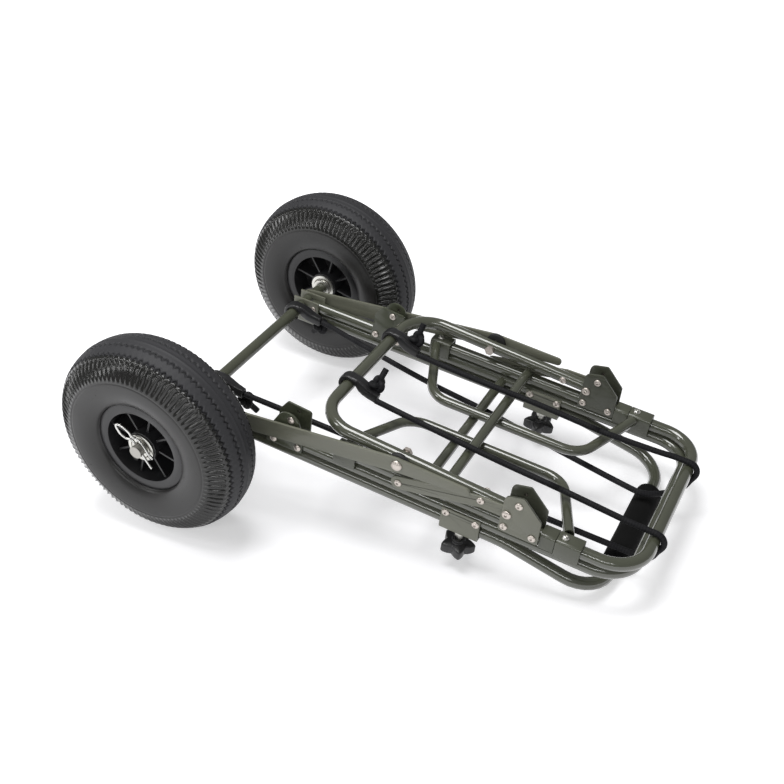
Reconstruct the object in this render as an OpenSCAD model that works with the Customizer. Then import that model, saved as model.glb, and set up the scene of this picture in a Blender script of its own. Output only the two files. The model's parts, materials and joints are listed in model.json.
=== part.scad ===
/* [Wheels] */
// Outer diameter of the tyre
tyre_d = 260; // [230:1:300]
// Width of the tyre across its sidewalls
tyre_w = 88; // [78:1:96]
// Distance between the middles of the two wheels
track = 432; // [425:1:500]
// Outer diameter of the rim flanges
rim_d = 121; // [115:1:130]
// Width of the rim over both flanges
rim_w = 67; // [62:1:70]
// Outer diameter of the hub
hub_d = 40; // [38:1:46]
// Number of stiffening ribs in the rim
rib_count = 8; // [6:1:10]
// Depth of the grooves round the tread
groove_depth = 2; // [1:0.5:3]

/* [Axle] */
// Outer diameter of the axle tube
axle_d = 16; // [14:0.5:17]
// Length of axle past the middle of each wheel
axle_past = 44; // [43:1:50]
// Wire diameter of the retaining clips
clip_wire = 3.2; // [2.5:0.1:3.6]

/* [Tubes] */
// Outer diameter of the frame tubes
tube_d = 16; // [14:0.5:17]
// Wall of every tube
wall = 1.5; // [1:0.1:2]
// Outer diameter of the crossbars and the side arms
bar_d = 13; // [11:0.5:13]
// Distance between the two rails, middle to middle
gauge = 268; // [250:1:272]
// Middle-line radius of the large corner bends
corner_r = 45; // [36:1:50]
// Thickness of the folded and flat plates
plate_t = 2.5; // [2:0.1:3]

/* [Frame] */
// Distance from the axle to the end bar of the lower frame tube
main_reach = 575; // [570:1:580]
// Distance from the axle to the end bar of the upper frame tube
bed_reach = 582; // [580:1:586]
// Distance from the axle to the lower crossbar
low_bar_s = 312; // [300:1:318]
// Distance from the axle to the upper crossbar
high_bar_s = 344; // [335:1:355]
// Distance from the middle plane to the inner run of a side arm
arm_in_y = 28; // [22:1:36]
// Bend radius of the side arms
arm_bend_r = 35; // [25:1:40]

/* [Handle] */
// Distance from the axle to the end bar of the handle, pushed in
handle_reach = 548; // [540:1:552]
// Depth of the grip below the straight part of the handle
handle_drop = 22; // [16:1:28]
// Distance from the axle to the bend in the handle legs
handle_bend_s = 425; // [415:1:435]
// Outer diameter of the foam grip
grip_d = 32; // [28:1:34]
// Length of the foam grip
grip_l = 144; // [110:1:160]
// Diameter of the star knobs over their lobes
knob_d = 40; // [34:1:44]
// Distance from the axle to the knobs
knob_s = 374; // [370:1:378]

/* [Load rest] */
// Distance from the axle to the hinge of the load rest
hinge_s = 426.5; // [422:0.5:430]
// Height of that hinge above the lower frame tube's axis
hinge_n = 37; // [36:0.5:39]
// Length of the load rest from its hinge to its crossbar
rest_l = 254.8; // [250:0.1:258]
// Rise of the folded load rest towards its crossbar, in degrees
rest_rise = 2.75; // [2:0.05:3.5]
// Distance from the hinge to the prop's pivot, along the load rest
prop_pivot_l = 138.6; // [134:0.1:142]
// Thickness of the props
prop_t = 3; // [2.5:0.1:3.5]
// Width of a prop where its pivot passes
prop_w = 21; // [18:1:24]

/* [Cords] */
// Diameter of the elastic cords
cord_d = 7.5; // [6:0.1:7.6]
// Width of a cord hook
hook_w = 9; // [8:0.5:11]
// Length of a cord hook from the tube's axis to the cord
hook_l = 40; // [38:1:44]

/* [Fits] */
// Gap between neighbouring pieces
gap = 0.3; // [0.2:0.05:0.4]
// Radial play of a turning or sliding fit
play = 0.05; // [0.03:0.01:0.08]
// Diameter of the rivet shanks
rivet_d = 5; // [4:0.5:5.5]

/* [Hidden] */
$fn = 48;
tube_r = tube_d / 2;
bar_r = bar_d / 2;
axle_r = axle_d / 2;
tyre_r = tyre_d / 2;
wheel_y = track / 2;
rail_y = gauge / 2;
tube_step = tube_d + gap;
bed_n = tube_step;
handle_n = -max(tube_step, axle_r + tube_r + gap);
grip_n = handle_n - handle_drop;

// The rails lean down towards the grip until tyres and grip stand on one floor
reach_to_grip = norm([handle_reach, grip_n]);
tilt = asin((tyre_r - grip_d / 2) / reach_to_grip) + atan2(grip_n, handle_reach);
cord_wrap_r = tube_r + cord_d / 2 + gap / 2;
front_x = (bed_reach + cord_wrap_r) * cos(tilt) + bed_n * sin(tilt) + cord_d / 2;
middle_x = (front_x - tyre_r) / 2;

// Layers out from a rail: tube, inner and outer plates, cover plate, prop
side_out = rail_y + tube_r + gap;
side_in = rail_y - tube_r - gap;
cover_out = side_out + plate_t + gap;
prop_out = cover_out + plate_t + gap;
head_d = 1.9 * rivet_d;
head_h = 0.48 * rivet_d;
hole_d = rivet_d + 2 * play;

// Places along the rails, measured from the axle
rail_start = axle_r + 4;
plug_stub = 3.5;
drop_r = 120;
axle_plate = [-13, 27];
axle_rivet_s = 19;
catch_span = [110, 160];
catch_rivets = [120, 154];
catch_top_n = 47;
catch_pin_at = [143, 38.5];
end_clamp = [203, 232];
collar_clamp = [468.6, 486.5];
arm_clamp = [487, 517];
end_bolt_s = 214;
arm_bolt_s = 495;
knob_plate = [349, 398.5];
knob_rivets = [355, 393];
rest_plate = [419.5, 468.3];
bed_rivets = [426, 460.7];
stop_rivet_at = [438.3, 56];
low_bar_n = -1;
high_bar_n = bed_n + 9.3;
arm_n = low_bar_n + bar_d + 0.4;
arm_end_n = bed_n + 5;
arm_lead = 38;
clamp_top_n = bed_n + tube_r + gap + plate_t;
clamp_foot_n = 3;
channel_foot_n = handle_n - tube_r - gap - plate_t;

// Folded load rest: a direction along it and the points on it
rest_dir = [-cos(rest_rise), sin(rest_rise)];
hinge_at = [hinge_s, hinge_n];
prop_pivot = hinge_at + prop_pivot_l * rest_dir;
stay_rivet_l = 33.5;
stay_rivet = hinge_at + stay_rivet_l * rest_dir;
stay_free_end = [290.7, 13];
prop_tip = prop_pivot + [87, 3.5];
rest_bar_at = hinge_at + rest_l * rest_dir;
rest_past_hinge = tube_r;

// Wheel sizes that follow the rim and the hub
rim_half = rim_w / 2;
flange_t = 3;
groove_w = 2.6;
groove_y = [-0.295 * tyre_w, -0.125 * tyre_w, 0.125 * tyre_w, 0.295 * tyre_w];
seat_r = rim_d / 2 - 8.5;
hub_half = 31;
bearing_d = hub_d - 7;
bearing_w = 9;
washer_d = 36;
washer_t = 2;
clip_y = hub_half + washer_t + 2 * gap + clip_wire / 2 + 1.5;
clip_turn = 130;

knob_thread_r = 4;
knob_drop = 16;
knob_slack = 1;
nut_d = 15;
nut_t = 6;
prop_bolt_d = 8;
prop_bolt_head = [14, 3.8];
prop_nut_d = 13;
prop_nut_t = 5;
notch_leans = [14, 25];
valve_r = 36;
valve_d = 6.5;
valve_turn = 118;

cord_sides = 8;
tube_sides = 24;
// Near cord: upper run, round both end bars, lower run back to the axle
near_upper_hook_y = -56;
near_lower_hook_y = -92;
near_cord = [
    [212, -57, 42], [221, -57.5, 41.5], [313, -64, 39], [385, -67, 36], [461, -68, 33], [538, -71, 30],
    [562, -71, 28.8], [576, -70.5, 28.3], [583, -70.5, 28.3], [588.5, -70.5, 26.6], [592.5, -71, 22.5],
    [594, -71, 17], [593, -71.5, 11.5], [589.5, -71.5, 3.5], [586.5, -72, -4.7], [582.3, -72, -10.2],
    [575, -72, -12], [560, -73, -12.2], [324, -77, -12], [300, -78, -11.8], [173, -84.5, -6.2],
    [60, -91.5, -1.5], [43, -92, -1]
];
far_upper_hook_y = 61;
far_lower_hook_y = 105;
far_cord = [
    [212, 60, 42], [221, 60, 41.5], [299, 59, 39.5], [384, 62, 36.3], [467, 62, 33], [531, 68, 30.2],
    [562, 73, 28.8], [576, 74, 28.3], [583, 74, 28.3], [588.5, 74, 26.6], [592.5, 73.5, 22.5],
    [594, 73, 17], [593, 72.5, 11.5], [589.5, 71.5, 3.5], [586.5, 70, -4.7], [582.3, 67, -10.2],
    [575, 60, -12], [562, 46, -12.4], [546, 36, -12.6], [527, 35, -12.6], [428, 51, -12.6],
    [324, 69, -12.2], [300, 72, -11.8], [227, 77, -8.3], [150, 88, -5.3], [60, 103, -1.5], [43, 105, -1]
];

function unit(v) = v / norm(v);
function turn_of(a, b, c) = acos(unit(b - a) * unit(c - b));
function arc_points(at, r, from, to, steps) =
    [for (i = [0:steps]) at + r * [cos(from + (to - from) * i / steps), sin(from + (to - from) * i / steps)]];

// Frame of the rails: x along them from the axle, z square to them
module in_rails() {
    translate([-middle_x, 0, tyre_r]) rotate([0, tilt, 0]) children();
}

// Far side as modelled, near side as its mirror image
module on_side(near) {
    in_rails() mirror([0, near ? 1 : 0, 0]) children();
}

module both_sides() {
    on_side(false) children();
    on_side(true) children();
}

// Solid extruded from y0 to y1 over an outline drawn along and above the rails
module across(y0, y1) {
    translate([0, y1, 0]) rotate([90, 0, 0]) linear_extrude(y1 - y0) children();
}

module rod_y(at, y0, y1, d) {
    translate([at[0], y1, at[1]]) rotate([90, 0, 0]) cylinder(d = d, h = y1 - y0);
}

module stick(a, b, d) {
    v = b - a;
    translate(a) rotate([0, acos(v[2] / norm(v)), atan2(v[1], v[0])]) cylinder(d = d, h = norm(v));
}

// Quarter or part turn of a rod that leaves the line a-b and joins the line b-c
module elbow(a, b, c, r, d) {
    turn = turn_of(a, b, c);
    back = unit(a - b);
    onward = unit(c - b);
    centre = b + unit(back + onward) * r / cos(turn / 2);
    ex = unit(b + back * r * tan(turn / 2) - centre);
    ey = -back;
    ez = cross(ex, ey);
    multmatrix([
        [ex[0], ey[0], ez[0], centre[0]],
        [ex[1], ey[1], ez[1], centre[1]],
        [ex[2], ey[2], ez[2], centre[2]],
        [0, 0, 0, 1]
    ]) rotate_extrude(angle = turn) translate([r, 0]) circle(d = d);
}

// Rod along a list of corner points, with one bend radius for each corner
module bent_rod(points, radii, d) {
    last = len(points) - 1;
    cut = [for (i = [0:last]) i == 0 || i == last ? 0
        : radii[i - 1] * tan(turn_of(points[i - 1], points[i], points[i + 1]) / 2)];
    for (i = [0:last - 1]) {
        along = unit(points[i + 1] - points[i]);
        stick(points[i] + along * cut[i], points[i + 1] - along * cut[i + 1], d);
    }
    for (i = [1:last - 1]) elbow(points[i - 1], points[i], points[i + 1], radii[i - 1], d);
}

module bent_tube(points, radii, d) {
    difference() {
        bent_rod(points, radii, d);
        bent_rod(points, radii, d - 2 * wall);
    }
}

// Corner points of a U from one rail round its end bar to the other rail
function u_points(start, reach, n) =
    [[start, -rail_y, n], [reach, -rail_y, n], [reach, rail_y, n], [start, rail_y, n]];

module holes_y(places, n, d) {
    for (s = places, side = [-1, 1]) translate([0, side * rail_y, 0])
        rod_y([s, n], -tube_r - 1, tube_r + 1, d);
}

module dome(d, h) {
    rotate_extrude() polygon(concat([[0, 0]],
        [for (i = [0:4]) [d / 2 * cos(90 * i / 4), h * sin(90 * i / 4)]]));
}

// Rivet across a rail, with a domed head at each end
module rivet(at, y0, y1, d) {
    rod_y(at, y0, y1, d);
    translate([at[0], y1, at[1]]) rotate([-90, 0, 0]) dome(1.9 * d, 0.48 * d);
    translate([at[0], y0, at[1]]) rotate([90, 0, 0]) dome(1.9 * d, 0.48 * d);
}

module main_frame() {
    color("#4a4d3c") in_rails() difference() {
        bent_tube(u_points(rail_start, main_reach, 0), [corner_r, corner_r], tube_d);
        holes_y(concat([axle_rivet_s], catch_rivets, knob_rivets), 0, hole_d);
    }
}

module bed_frame() {
    color("#4a4d3c") in_rails() difference() {
        bent_tube(u_points(end_clamp[0] + 3, bed_reach, bed_n), [corner_r, corner_r], tube_d);
        holes_y(bed_rivets, bed_n + 2, hole_d);
        for (s = [end_bolt_s, arm_bolt_s], side = [-1, 1])
            translate([s, side * rail_y, bed_n]) cylinder(d = hole_d, h = tube_r + 1);
    }
}

// Crossbar whose ends are hollowed to seat on the rails at height rail_n
module crossbar(s, n, rail_n) {
    difference() {
        rod_y([s, n], -rail_y + tube_r - 3, rail_y - tube_r + 3, bar_d);
        for (side = [-1, 1]) translate([s - bar_d, side * rail_y, rail_n]) rotate([0, 90, 0])
            cylinder(r = tube_r + 0.1, h = 2 * bar_d);
    }
}

module lower_crossbar() {
    color("#4a4d3c") in_rails() crossbar(low_bar_s, low_bar_n, 0);
}

module upper_crossbar() {
    color("#4a4d3c") in_rails() crossbar(high_bar_s, high_bar_n, bed_n);
}

module side_arm() {
    lead = [arm_lead, side_in - plate_t - arm_in_y, arm_end_n - arm_n];
    slant = sqrt(1 - pow(lead[1] / norm(lead), 2));
    end_y = side_in - plate_t - gap - bar_r * slant;
    sweep(bent_stations([
        [end_bolt_s - 1, end_y, arm_end_n], [end_bolt_s - 1 + arm_lead, arm_in_y, arm_n],
        [arm_bolt_s - arm_lead, arm_in_y, arm_n], [arm_bolt_s, end_y, arm_end_n]
    ], [arm_bend_r, arm_bend_r], [7, 7]), [0, 0, 1], bar_d, tube_sides, bar_d - 2 * wall);
}

// Channel plate folded over a tube: two legs from foot_n and a back whose outer face is at back_n
module folded_channel(span, foot_n, back_n) {
    half = tube_r + gap;
    outer = half + plate_t;
    bend = 1.5 * plate_t;
    points = concat(
        [[-outer, foot_n]], arc_points([bend - outer, back_n - bend], bend, 180, 90, 4),
        arc_points([outer - bend, back_n - bend], bend, 90, 0, 4), [[outer, foot_n], [half, foot_n]],
        arc_points([outer - bend, back_n - bend], bend - plate_t, 0, 90, 2),
        arc_points([bend - outer, back_n - bend], bend - plate_t, 90, 180, 2), [[-half, foot_n]]
    );
    translate([span[0], rail_y, 0]) rotate([90, 0, 90]) linear_extrude(span[1] - span[0]) polygon(points);
}

// Flat plate between y0 and y1, rounded round the listed corners [s, n, radius]
module rounded_plate(corners, y0, y1) {
    across(y0, y1) hull() for (c = corners) translate([c[0], c[1]]) circle(c[2], $fn = 32);
}

module rail_end_clamps() {
    color("#4d5040") both_sides() difference() {
        folded_channel(end_clamp, clamp_foot_n, clamp_top_n);
        translate([end_bolt_s, rail_y, bed_n]) cylinder(d = hole_d, h = 2 * tube_d);
    }
}

module arm_end_clamps() {
    color("#4d5040") both_sides() {
        folded_channel(collar_clamp, clamp_foot_n + 4, clamp_top_n);
        difference() {
            folded_channel(arm_clamp, clamp_foot_n, clamp_top_n);
            translate([arm_bolt_s, rail_y, bed_n]) cylinder(d = hole_d, h = 2 * tube_d);
        }
    }
}

module clamp_bolts() {
    color("silver") both_sides() for (s = [end_bolt_s, arm_bolt_s]) translate([s, rail_y, 0]) difference() {
        union() {
            translate([0, 0, bed_n + tube_r - wall - 1]) cylinder(d = rivet_d, h = gap + plate_t + wall + 1);
            translate([0, 0, clamp_top_n]) dome(head_d, 0.8 * head_h + 1.5);
        }
        translate([0, 0, clamp_top_n + 2]) cylinder(d = rivet_d - 1.5, h = 5, $fn = 6);
    }
}

module near_side_arm() {
    color("#4a4d3c") on_side(true) side_arm();
}

module far_side_arm() {
    color("#4a4d3c") on_side(false) side_arm();
}

module axle() {
    end_y = wheel_y + axle_past;
    color("#4a4d3c") in_rails() difference() {
        rod_y([0, 0], -end_y, end_y, axle_d);
        rod_y([0, 0], 6 - end_y, end_y - 6, axle_d - 4);
        for (side = [-1, 1]) rotate([0, -clip_turn, 0]) translate([-axle_d, side * (wheel_y + clip_y), 0])
            rotate([0, 90, 0]) cylinder(d = clip_wire + 2 * play, h = 2 * axle_d);
    }
}

// Channel under each rail's end: it carries the axle and guides the pushed-in handle leg
module axle_brackets() {
    color("#4d5040") both_sides() difference() {
        mirror([0, 0, 1]) folded_channel(axle_plate, -axle_r - 4, -channel_foot_n);
        rod_y([0, 0], 0, 2 * rail_y, axle_d + 2 * play);
        rod_y([axle_rivet_s, 0], 0, 2 * rail_y, hole_d);
    }
}

module ring_y(y0, y1, outer_d, inner_d) {
    difference() {
        rod_y([0, 0], y0, y1, outer_d);
        rod_y([0, 0], y0 - 1, y1 + 1, inner_d);
    }
}

module axle_washers() {
    bore = axle_d + 2 * play;
    hub_in = wheel_y - hub_half - gap;
    hub_out = wheel_y + hub_half + gap;
    color("silver") both_sides() {
        ring_y(hub_in - washer_t, hub_in, washer_d, bore);
        ring_y(hub_in - washer_t - 4, hub_in - washer_t, 0.68 * washer_d, bore);
        ring_y(hub_out, hub_out + washer_t, washer_d, bore);
    }
}

// Flanged plug in the open end of a tube that starts at s
module end_plug(s, n) {
    translate([s - 2.5, rail_y, n]) rotate([0, 90, 0]) {
        cylinder(r = tube_r, h = 2.5);
        translate([0, 0, 2.5]) cylinder(r = tube_r - wall - 2 * play, h = plug_stub);
    }
}

module tube_plugs() {
    color("#1c1c1c") both_sides() {
        end_plug(rail_start, 0);
        end_plug(end_clamp[0] + 3, bed_n);
    }
}

module catch_bracket(near) {
    on_side(near) difference() {
        union() {
            rounded_plate([[catch_span[0] + 3, -4, 3], [catch_span[1] - 3, -4, 3], [catch_span[1] - 4, 14, 4],
                [catch_pin_at[0] - 4, catch_top_n - 16, 16], [catch_span[0] + 3, 10, 3]],
                side_out, side_out + plate_t);
            rounded_plate([[catch_span[0] + 6, -4, 3], [catch_span[1] - 3, -4, 3],
                [catch_span[1] - 4, catch_top_n - 6, 4], [catch_span[0] + 18, catch_top_n - 3, 3],
                [catch_span[0] + 9, catch_top_n - 16, 3]], side_in - plate_t, side_in);
        }
        for (s = catch_rivets) rod_y([s, 0], 0, 2 * rail_y, hole_d);
        rod_y(catch_pin_at, 0, 2 * rail_y, hole_d);
    }
}

module near_catch_bracket() {
    color("#4d5040") catch_bracket(true);
}

module far_catch_bracket() {
    color("#4d5040") catch_bracket(false);
}

module catch_pins() {
    color("silver") both_sides() rivet(catch_pin_at, side_in - plate_t, side_out + plate_t, rivet_d);
}

// Cover plate and inner plate that stand on the upper tube and carry the load rest's hinge
module hinge_bracket(near) {
    corners = [
        [rest_plate[0] + 3, 14, 3], [rest_plate[0] + 9, 57, 8], [rest_plate[0] + 22, 64.5, 4],
        [rest_plate[1] - 5, 43, 4], [rest_plate[1] - 3, 14, 3]
    ];
    on_side(near) difference() {
        union() {
            rounded_plate(corners, cover_out, cover_out + plate_t);
            rounded_plate(corners, side_in - plate_t, side_in);
        }
        for (s = bed_rivets) rod_y([s, bed_n + 2], 0, 2 * rail_y, hole_d);
        rod_y(stop_rivet_at, 0, 2 * rail_y, hole_d);
        rod_y(hinge_at, 0, 2 * rail_y, rivet_d + 1 + 2 * play);
    }
}

module near_hinge_bracket() {
    color("#4d5040") hinge_bracket(true);
}

module far_hinge_bracket() {
    color("#4d5040") hinge_bracket(false);
}

module hinge_pins() {
    color("silver") both_sides() rivet(hinge_at, side_in - plate_t, cover_out + plate_t, rivet_d + 1);
}

module knob_bracket(near) {
    on_side(near) difference() {
        mirror([0, 0, 1]) folded_channel(knob_plate, -tube_r + 2, -channel_foot_n);
        for (s = knob_rivets) rod_y([s, 0], 0, 2 * rail_y, hole_d);
        translate([knob_s, rail_y, channel_foot_n - 1]) cylinder(r = knob_thread_r + 0.1, h = tube_r);
    }
}

module near_knob_bracket() {
    color("#4d5040") knob_bracket(true);
}

module far_knob_bracket() {
    color("#4d5040") knob_bracket(false);
}

// Nut welded under each knob bracket
module knob_nuts() {
    color("#8a8a80") both_sides() translate([knob_s, rail_y, channel_foot_n - nut_t]) difference() {
        cylinder(d = nut_d, h = nut_t, $fn = 6);
        translate([0, 0, -1]) cylinder(r = knob_thread_r + play, h = nut_t + 2);
    }
}

module frame_rivets() {
    color("silver") both_sides() {
        for (s = concat([axle_rivet_s], catch_rivets, knob_rivets))
            rivet([s, 0], side_in - plate_t, side_out + plate_t, rivet_d);
        for (s = bed_rivets) rivet([s, bed_n + 2], side_in - plate_t, cover_out + plate_t, rivet_d);
        rivet(stop_rivet_at, side_in - plate_t, cover_out + plate_t, rivet_d);
    }
}

// Bushes that hold the cover plate clear of the upper tube
module bracket_spacers() {
    color("#4d5040") both_sides() for (s = bed_rivets) translate([s, 0, bed_n + 2])
        ring_y(rail_y + tube_r + gap / 2, cover_out, 1.8 * rivet_d, hole_d);
}

// Plastic hook round a tube at [s, y, n]; its shank points to the first point of the cord
module cord_hook(at, cord_point) {
    pull = [cord_point[0] - at[0], cord_point[2] - at[2]];
    ring_in = tube_r + gap;
    ring_t = 4.5;
    translate(at) rotate([0, -atan2(pull[1], pull[0]), 0]) {
        rotate([90, 0, 0]) rotate([0, 0, 55]) rotate_extrude(angle = 250)
            translate([ring_in, -hook_w / 2]) square([ring_t, hook_w]);
        hull() {
            rotate([0, -60, 0]) translate([ring_in + ring_t / 2, 0, 0])
                cube([ring_t - 1, hook_w - 1, 2], center = true);
            translate([hook_l - 9, 0, 0]) rotate([0, 90, 0]) cylinder(d = cord_d + 3.5, h = 9, $fn = 24);
        }
        hull() {
            rotate([0, 60, 0]) translate([ring_in + ring_t / 2, 0, 0])
                cube([ring_t - 1, hook_w - 1, 2], center = true);
            translate([19, 0, -14]) rotate([90, 0, 0])
                cylinder(d = 5, h = hook_w - 2, center = true, $fn = 16);
        }
        translate([21, 0, -14.5]) sphere(d = 11, $fn = 24);
    }
}

module near_lower_hook() {
    color("#151515") in_rails() cord_hook([0, near_lower_hook_y, 0], near_cord[len(near_cord) - 1]);
}

module far_lower_hook() {
    color("#151515") in_rails() cord_hook([0, far_lower_hook_y, 0], far_cord[len(far_cord) - 1]);
}

module near_upper_hook() {
    color("#151515") in_rails()
        cord_hook([rest_bar_at[0], near_upper_hook_y, rest_bar_at[1]], near_cord[0]);
}

module far_upper_hook() {
    color("#151515") in_rails()
        cord_hook([rest_bar_at[0], far_upper_hook_y, rest_bar_at[1]], far_cord[0]);
}

// Stations [place, direction] of a route followed point by point
function route_stations(route) =
    let (last = len(route) - 1)
    [for (i = [0:last]) [route[i], unit(route[min(i + 1, last)] - route[max(i - 1, 0)])]];

// Stations of a rod bent at each inner corner point, with the number of steps in each bend
function bent_stations(points, radii, steps) =
    let (last = len(points) - 1)
    concat(
        [[points[0], unit(points[1] - points[0])]],
        [for (i = [1:last - 1], k = [0:steps[i - 1]])
            let (
                turn = turn_of(points[i - 1], points[i], points[i + 1]),
                r = radii[i - 1],
                back = unit(points[i - 1] - points[i]),
                onward = unit(points[i + 1] - points[i]),
                centre = points[i] + unit(back + onward) * r / cos(turn / 2),
                ex = unit(points[i] + back * r * tan(turn / 2) - centre),
                t = turn * k / steps[i - 1]
            )
            [centre + r * (cos(t) * ex - sin(t) * back), -cos(t) * back - sin(t) * ex]],
        [[points[last], unit(points[last] - points[last - 1])]]
    );

function ring_points(station, up, r, m) =
    let (side = unit(cross(up, station[1])), top = cross(station[1], side))
    [for (k = [0:m - 1]) let (a = 360 * (k + 0.5) / m) station[0] + r * (cos(a) * side + sin(a) * top)];

// Skin between rings of m points, numbered from first; inward turns it over
function skin(rings, m, first, inward) =
    [for (i = [0:rings - 2], k = [0:m - 1], half = [0, 1])
        let (
            a = first + i * m + k,
            b = first + i * m + (k + 1) % m,
            c = b + m,
            d = a + m,
            face = half == 0 ? [a, c, b] : [a, d, c]
        )
        inward ? [face[0], face[2], face[1]] : face];

function end_wall(m, outer, inner, turned) =
    [for (k = [0:m - 1], half = [0, 1])
        let (
            next = (k + 1) % m,
            face = half == 0 ? [outer + k, outer + next, inner + next] : [outer + k, inner + next, inner + k]
        )
        turned ? [face[0], face[2], face[1]] : face];

// Rod, or tube where inner_d is given, of m sides along its stations
module sweep(stations, up, d, m, inner_d = 0) {
    n = len(stations);
    outer = [for (s = stations, p = ring_points(s, up, d / 2, m)) p];
    if (inner_d == 0) polyhedron(outer, concat(
        skin(n, m, 0, false), [[for (k = [0:m - 1]) k]], [[for (k = [m - 1:-1:0]) (n - 1) * m + k]]));
    else polyhedron(concat(outer, [for (s = stations, p = ring_points(s, up, inner_d / 2, m)) p]), concat(
        skin(n, m, 0, false), skin(n, m, n * m, true),
        end_wall(m, 0, n * m, false), end_wall(m, (n - 1) * m, (2 * n - 1) * m, true)));
}

module cord(route) {
    sweep(route_stations(route), [0, 1, 0], cord_d, cord_sides);
}

module near_cord() {
    color("#202024") in_rails() cord(near_cord);
}

module far_cord() {
    color("#202024") in_rails() cord(far_cord);
}

// Straight legs that slide in the brackets, and the end that drops to the grip
module handle_tube() {
    color("#4a4d3c") in_rails() sweep(bent_stations([
        [rail_start, -rail_y, handle_n], [handle_bend_s, -rail_y, handle_n],
        [handle_reach, -rail_y, grip_n], [handle_reach, rail_y, grip_n],
        [handle_bend_s, rail_y, handle_n], [rail_start, rail_y, handle_n]
    ], [drop_r, corner_r, corner_r, drop_r], [2, 8, 8, 2]), [0, 0, 1], tube_d, tube_sides, tube_d - 2 * wall);
}

module handle_grip() {
    edge = 4;
    color("#191919") in_rails() translate([handle_reach, -grip_l / 2, grip_n]) rotate([-90, 0, 0])
        rotate_extrude() polygon(concat(
            [[tube_r + 0.1, 0]], arc_points([grip_d / 2 - edge, edge], edge, -90, 0, 4),
            arc_points([grip_d / 2 - edge, grip_l - edge], edge, 0, 90, 4), [[tube_r + 0.1, grip_l]]));
}

module handle_plugs() {
    color("#1c1c1c") both_sides() end_plug(rail_start, handle_n);
}

module knob(near) {
    lobe_d = 0.36 * knob_d;
    on_side(near) translate([knob_s, rail_y, channel_foot_n - knob_drop]) difference() {
        union() {
            mirror([0, 0, 1]) cylinder(d = 0.7 * knob_d, h = 14);
            for (i = [0:4]) rotate([0, 0, 72 * i + 18]) translate([(knob_d - lobe_d) / 2, 0, -13])
                cylinder(d = lobe_d, h = 12);
            mirror([0, 0, 1]) translate([0, 0, -4]) cylinder(d = 0.4 * knob_d, h = 5);
        }
        translate([0, 0, -9]) cylinder(r = knob_thread_r + play, h = 20);
    }
}

module near_knob() {
    color("#161616") knob(true);
}

module far_knob() {
    color("#161616") knob(false);
}

module knob_stud(near) {
    top_n = handle_n - tube_r - knob_slack;
    low_n = channel_foot_n - knob_drop - 9;
    on_side(near) translate([knob_s, rail_y, low_n]) cylinder(r = knob_thread_r, h = top_n - low_n);
}

module near_knob_stud() {
    color("silver") knob_stud(true);
}

module far_knob_stud() {
    color("silver") knob_stud(false);
}

module load_rest_tube() {
    color("#4a4d3c") in_rails() translate([hinge_s, 0, hinge_n]) rotate([0, rest_rise, 0]) mirror([1, 0, 0])
        difference() {
            bent_tube(u_points(-rest_past_hinge, rest_l, 0), [corner_r + 2, corner_r + 2], tube_d);
            for (side = [-1, 1]) translate([0, side * rail_y, 0]) {
                rod_y([0, 0], -tube_d, tube_d, rivet_d + 1 + 2 * play);
                rod_y([prop_pivot_l, 0], -tube_d, tube_d, prop_bolt_d + 2 * play);
                rod_y([stay_rivet_l, 0], -tube_d, tube_d, hole_d);
            }
        }
}

// Flat stay beside the load rest, pinned at the hinge and riveted to the tube
module stay(near) {
    end_r = tube_r + 1.5;
    on_side(near) difference() {
        union() {
            rounded_plate([[stay_free_end[0], stay_free_end[1], end_r],
                [stay_rivet[0], stay_rivet[1] - 2, tube_r]],
                side_out, side_out + plate_t);
            rounded_plate([[stay_rivet[0], stay_rivet[1] - 2, tube_r],
                [hinge_at[0], hinge_at[1], tube_r + 0.5]],
                side_out, side_out + plate_t);
        }
        rod_y(hinge_at, 0, 2 * rail_y, rivet_d + 1 + 2 * play);
        rod_y(stay_rivet, 0, 2 * rail_y, hole_d);
        rod_y(stay_free_end, 0, 2 * rail_y, hole_d);
    }
}

module near_stay() {
    color("#54574a") stay(true);
}

module far_stay() {
    color("#54574a") stay(false);
}

module rest_rivets() {
    color("silver") both_sides() {
        rivet(stay_rivet, side_in, side_out + plate_t, rivet_d);
        rod_y(stay_free_end, side_out, side_out + plate_t, rivet_d);
        translate([stay_free_end[0], side_out + plate_t, stay_free_end[1]]) rotate([-90, 0, 0])
            dome(1.9 * rivet_d, 0.48 * rivet_d);
    }
}

module prop_bolts() {
    color("silver") both_sides() translate([prop_pivot[0], 0, prop_pivot[1]]) {
        rod_y([0, 0], side_in, prop_out + prop_t + gap, prop_bolt_d);
        translate([0, prop_out + prop_t + gap, 0]) rotate([-90, 0, 0]) dome(prop_bolt_head[0], prop_bolt_head[1]);
        translate([0, side_in, 0]) rotate([90, 0, 0]) cylinder(d = prop_nut_d, h = prop_nut_t, $fn = 6);
    }
}

// Black plastic washers between the load rest and the props
module prop_washers() {
    color("#181818") both_sides() translate([prop_pivot[0], 0, prop_pivot[1]])
        ring_y(side_out, prop_out - gap, 1.25 * prop_w, prop_bolt_d + 2 * play);
}

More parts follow.
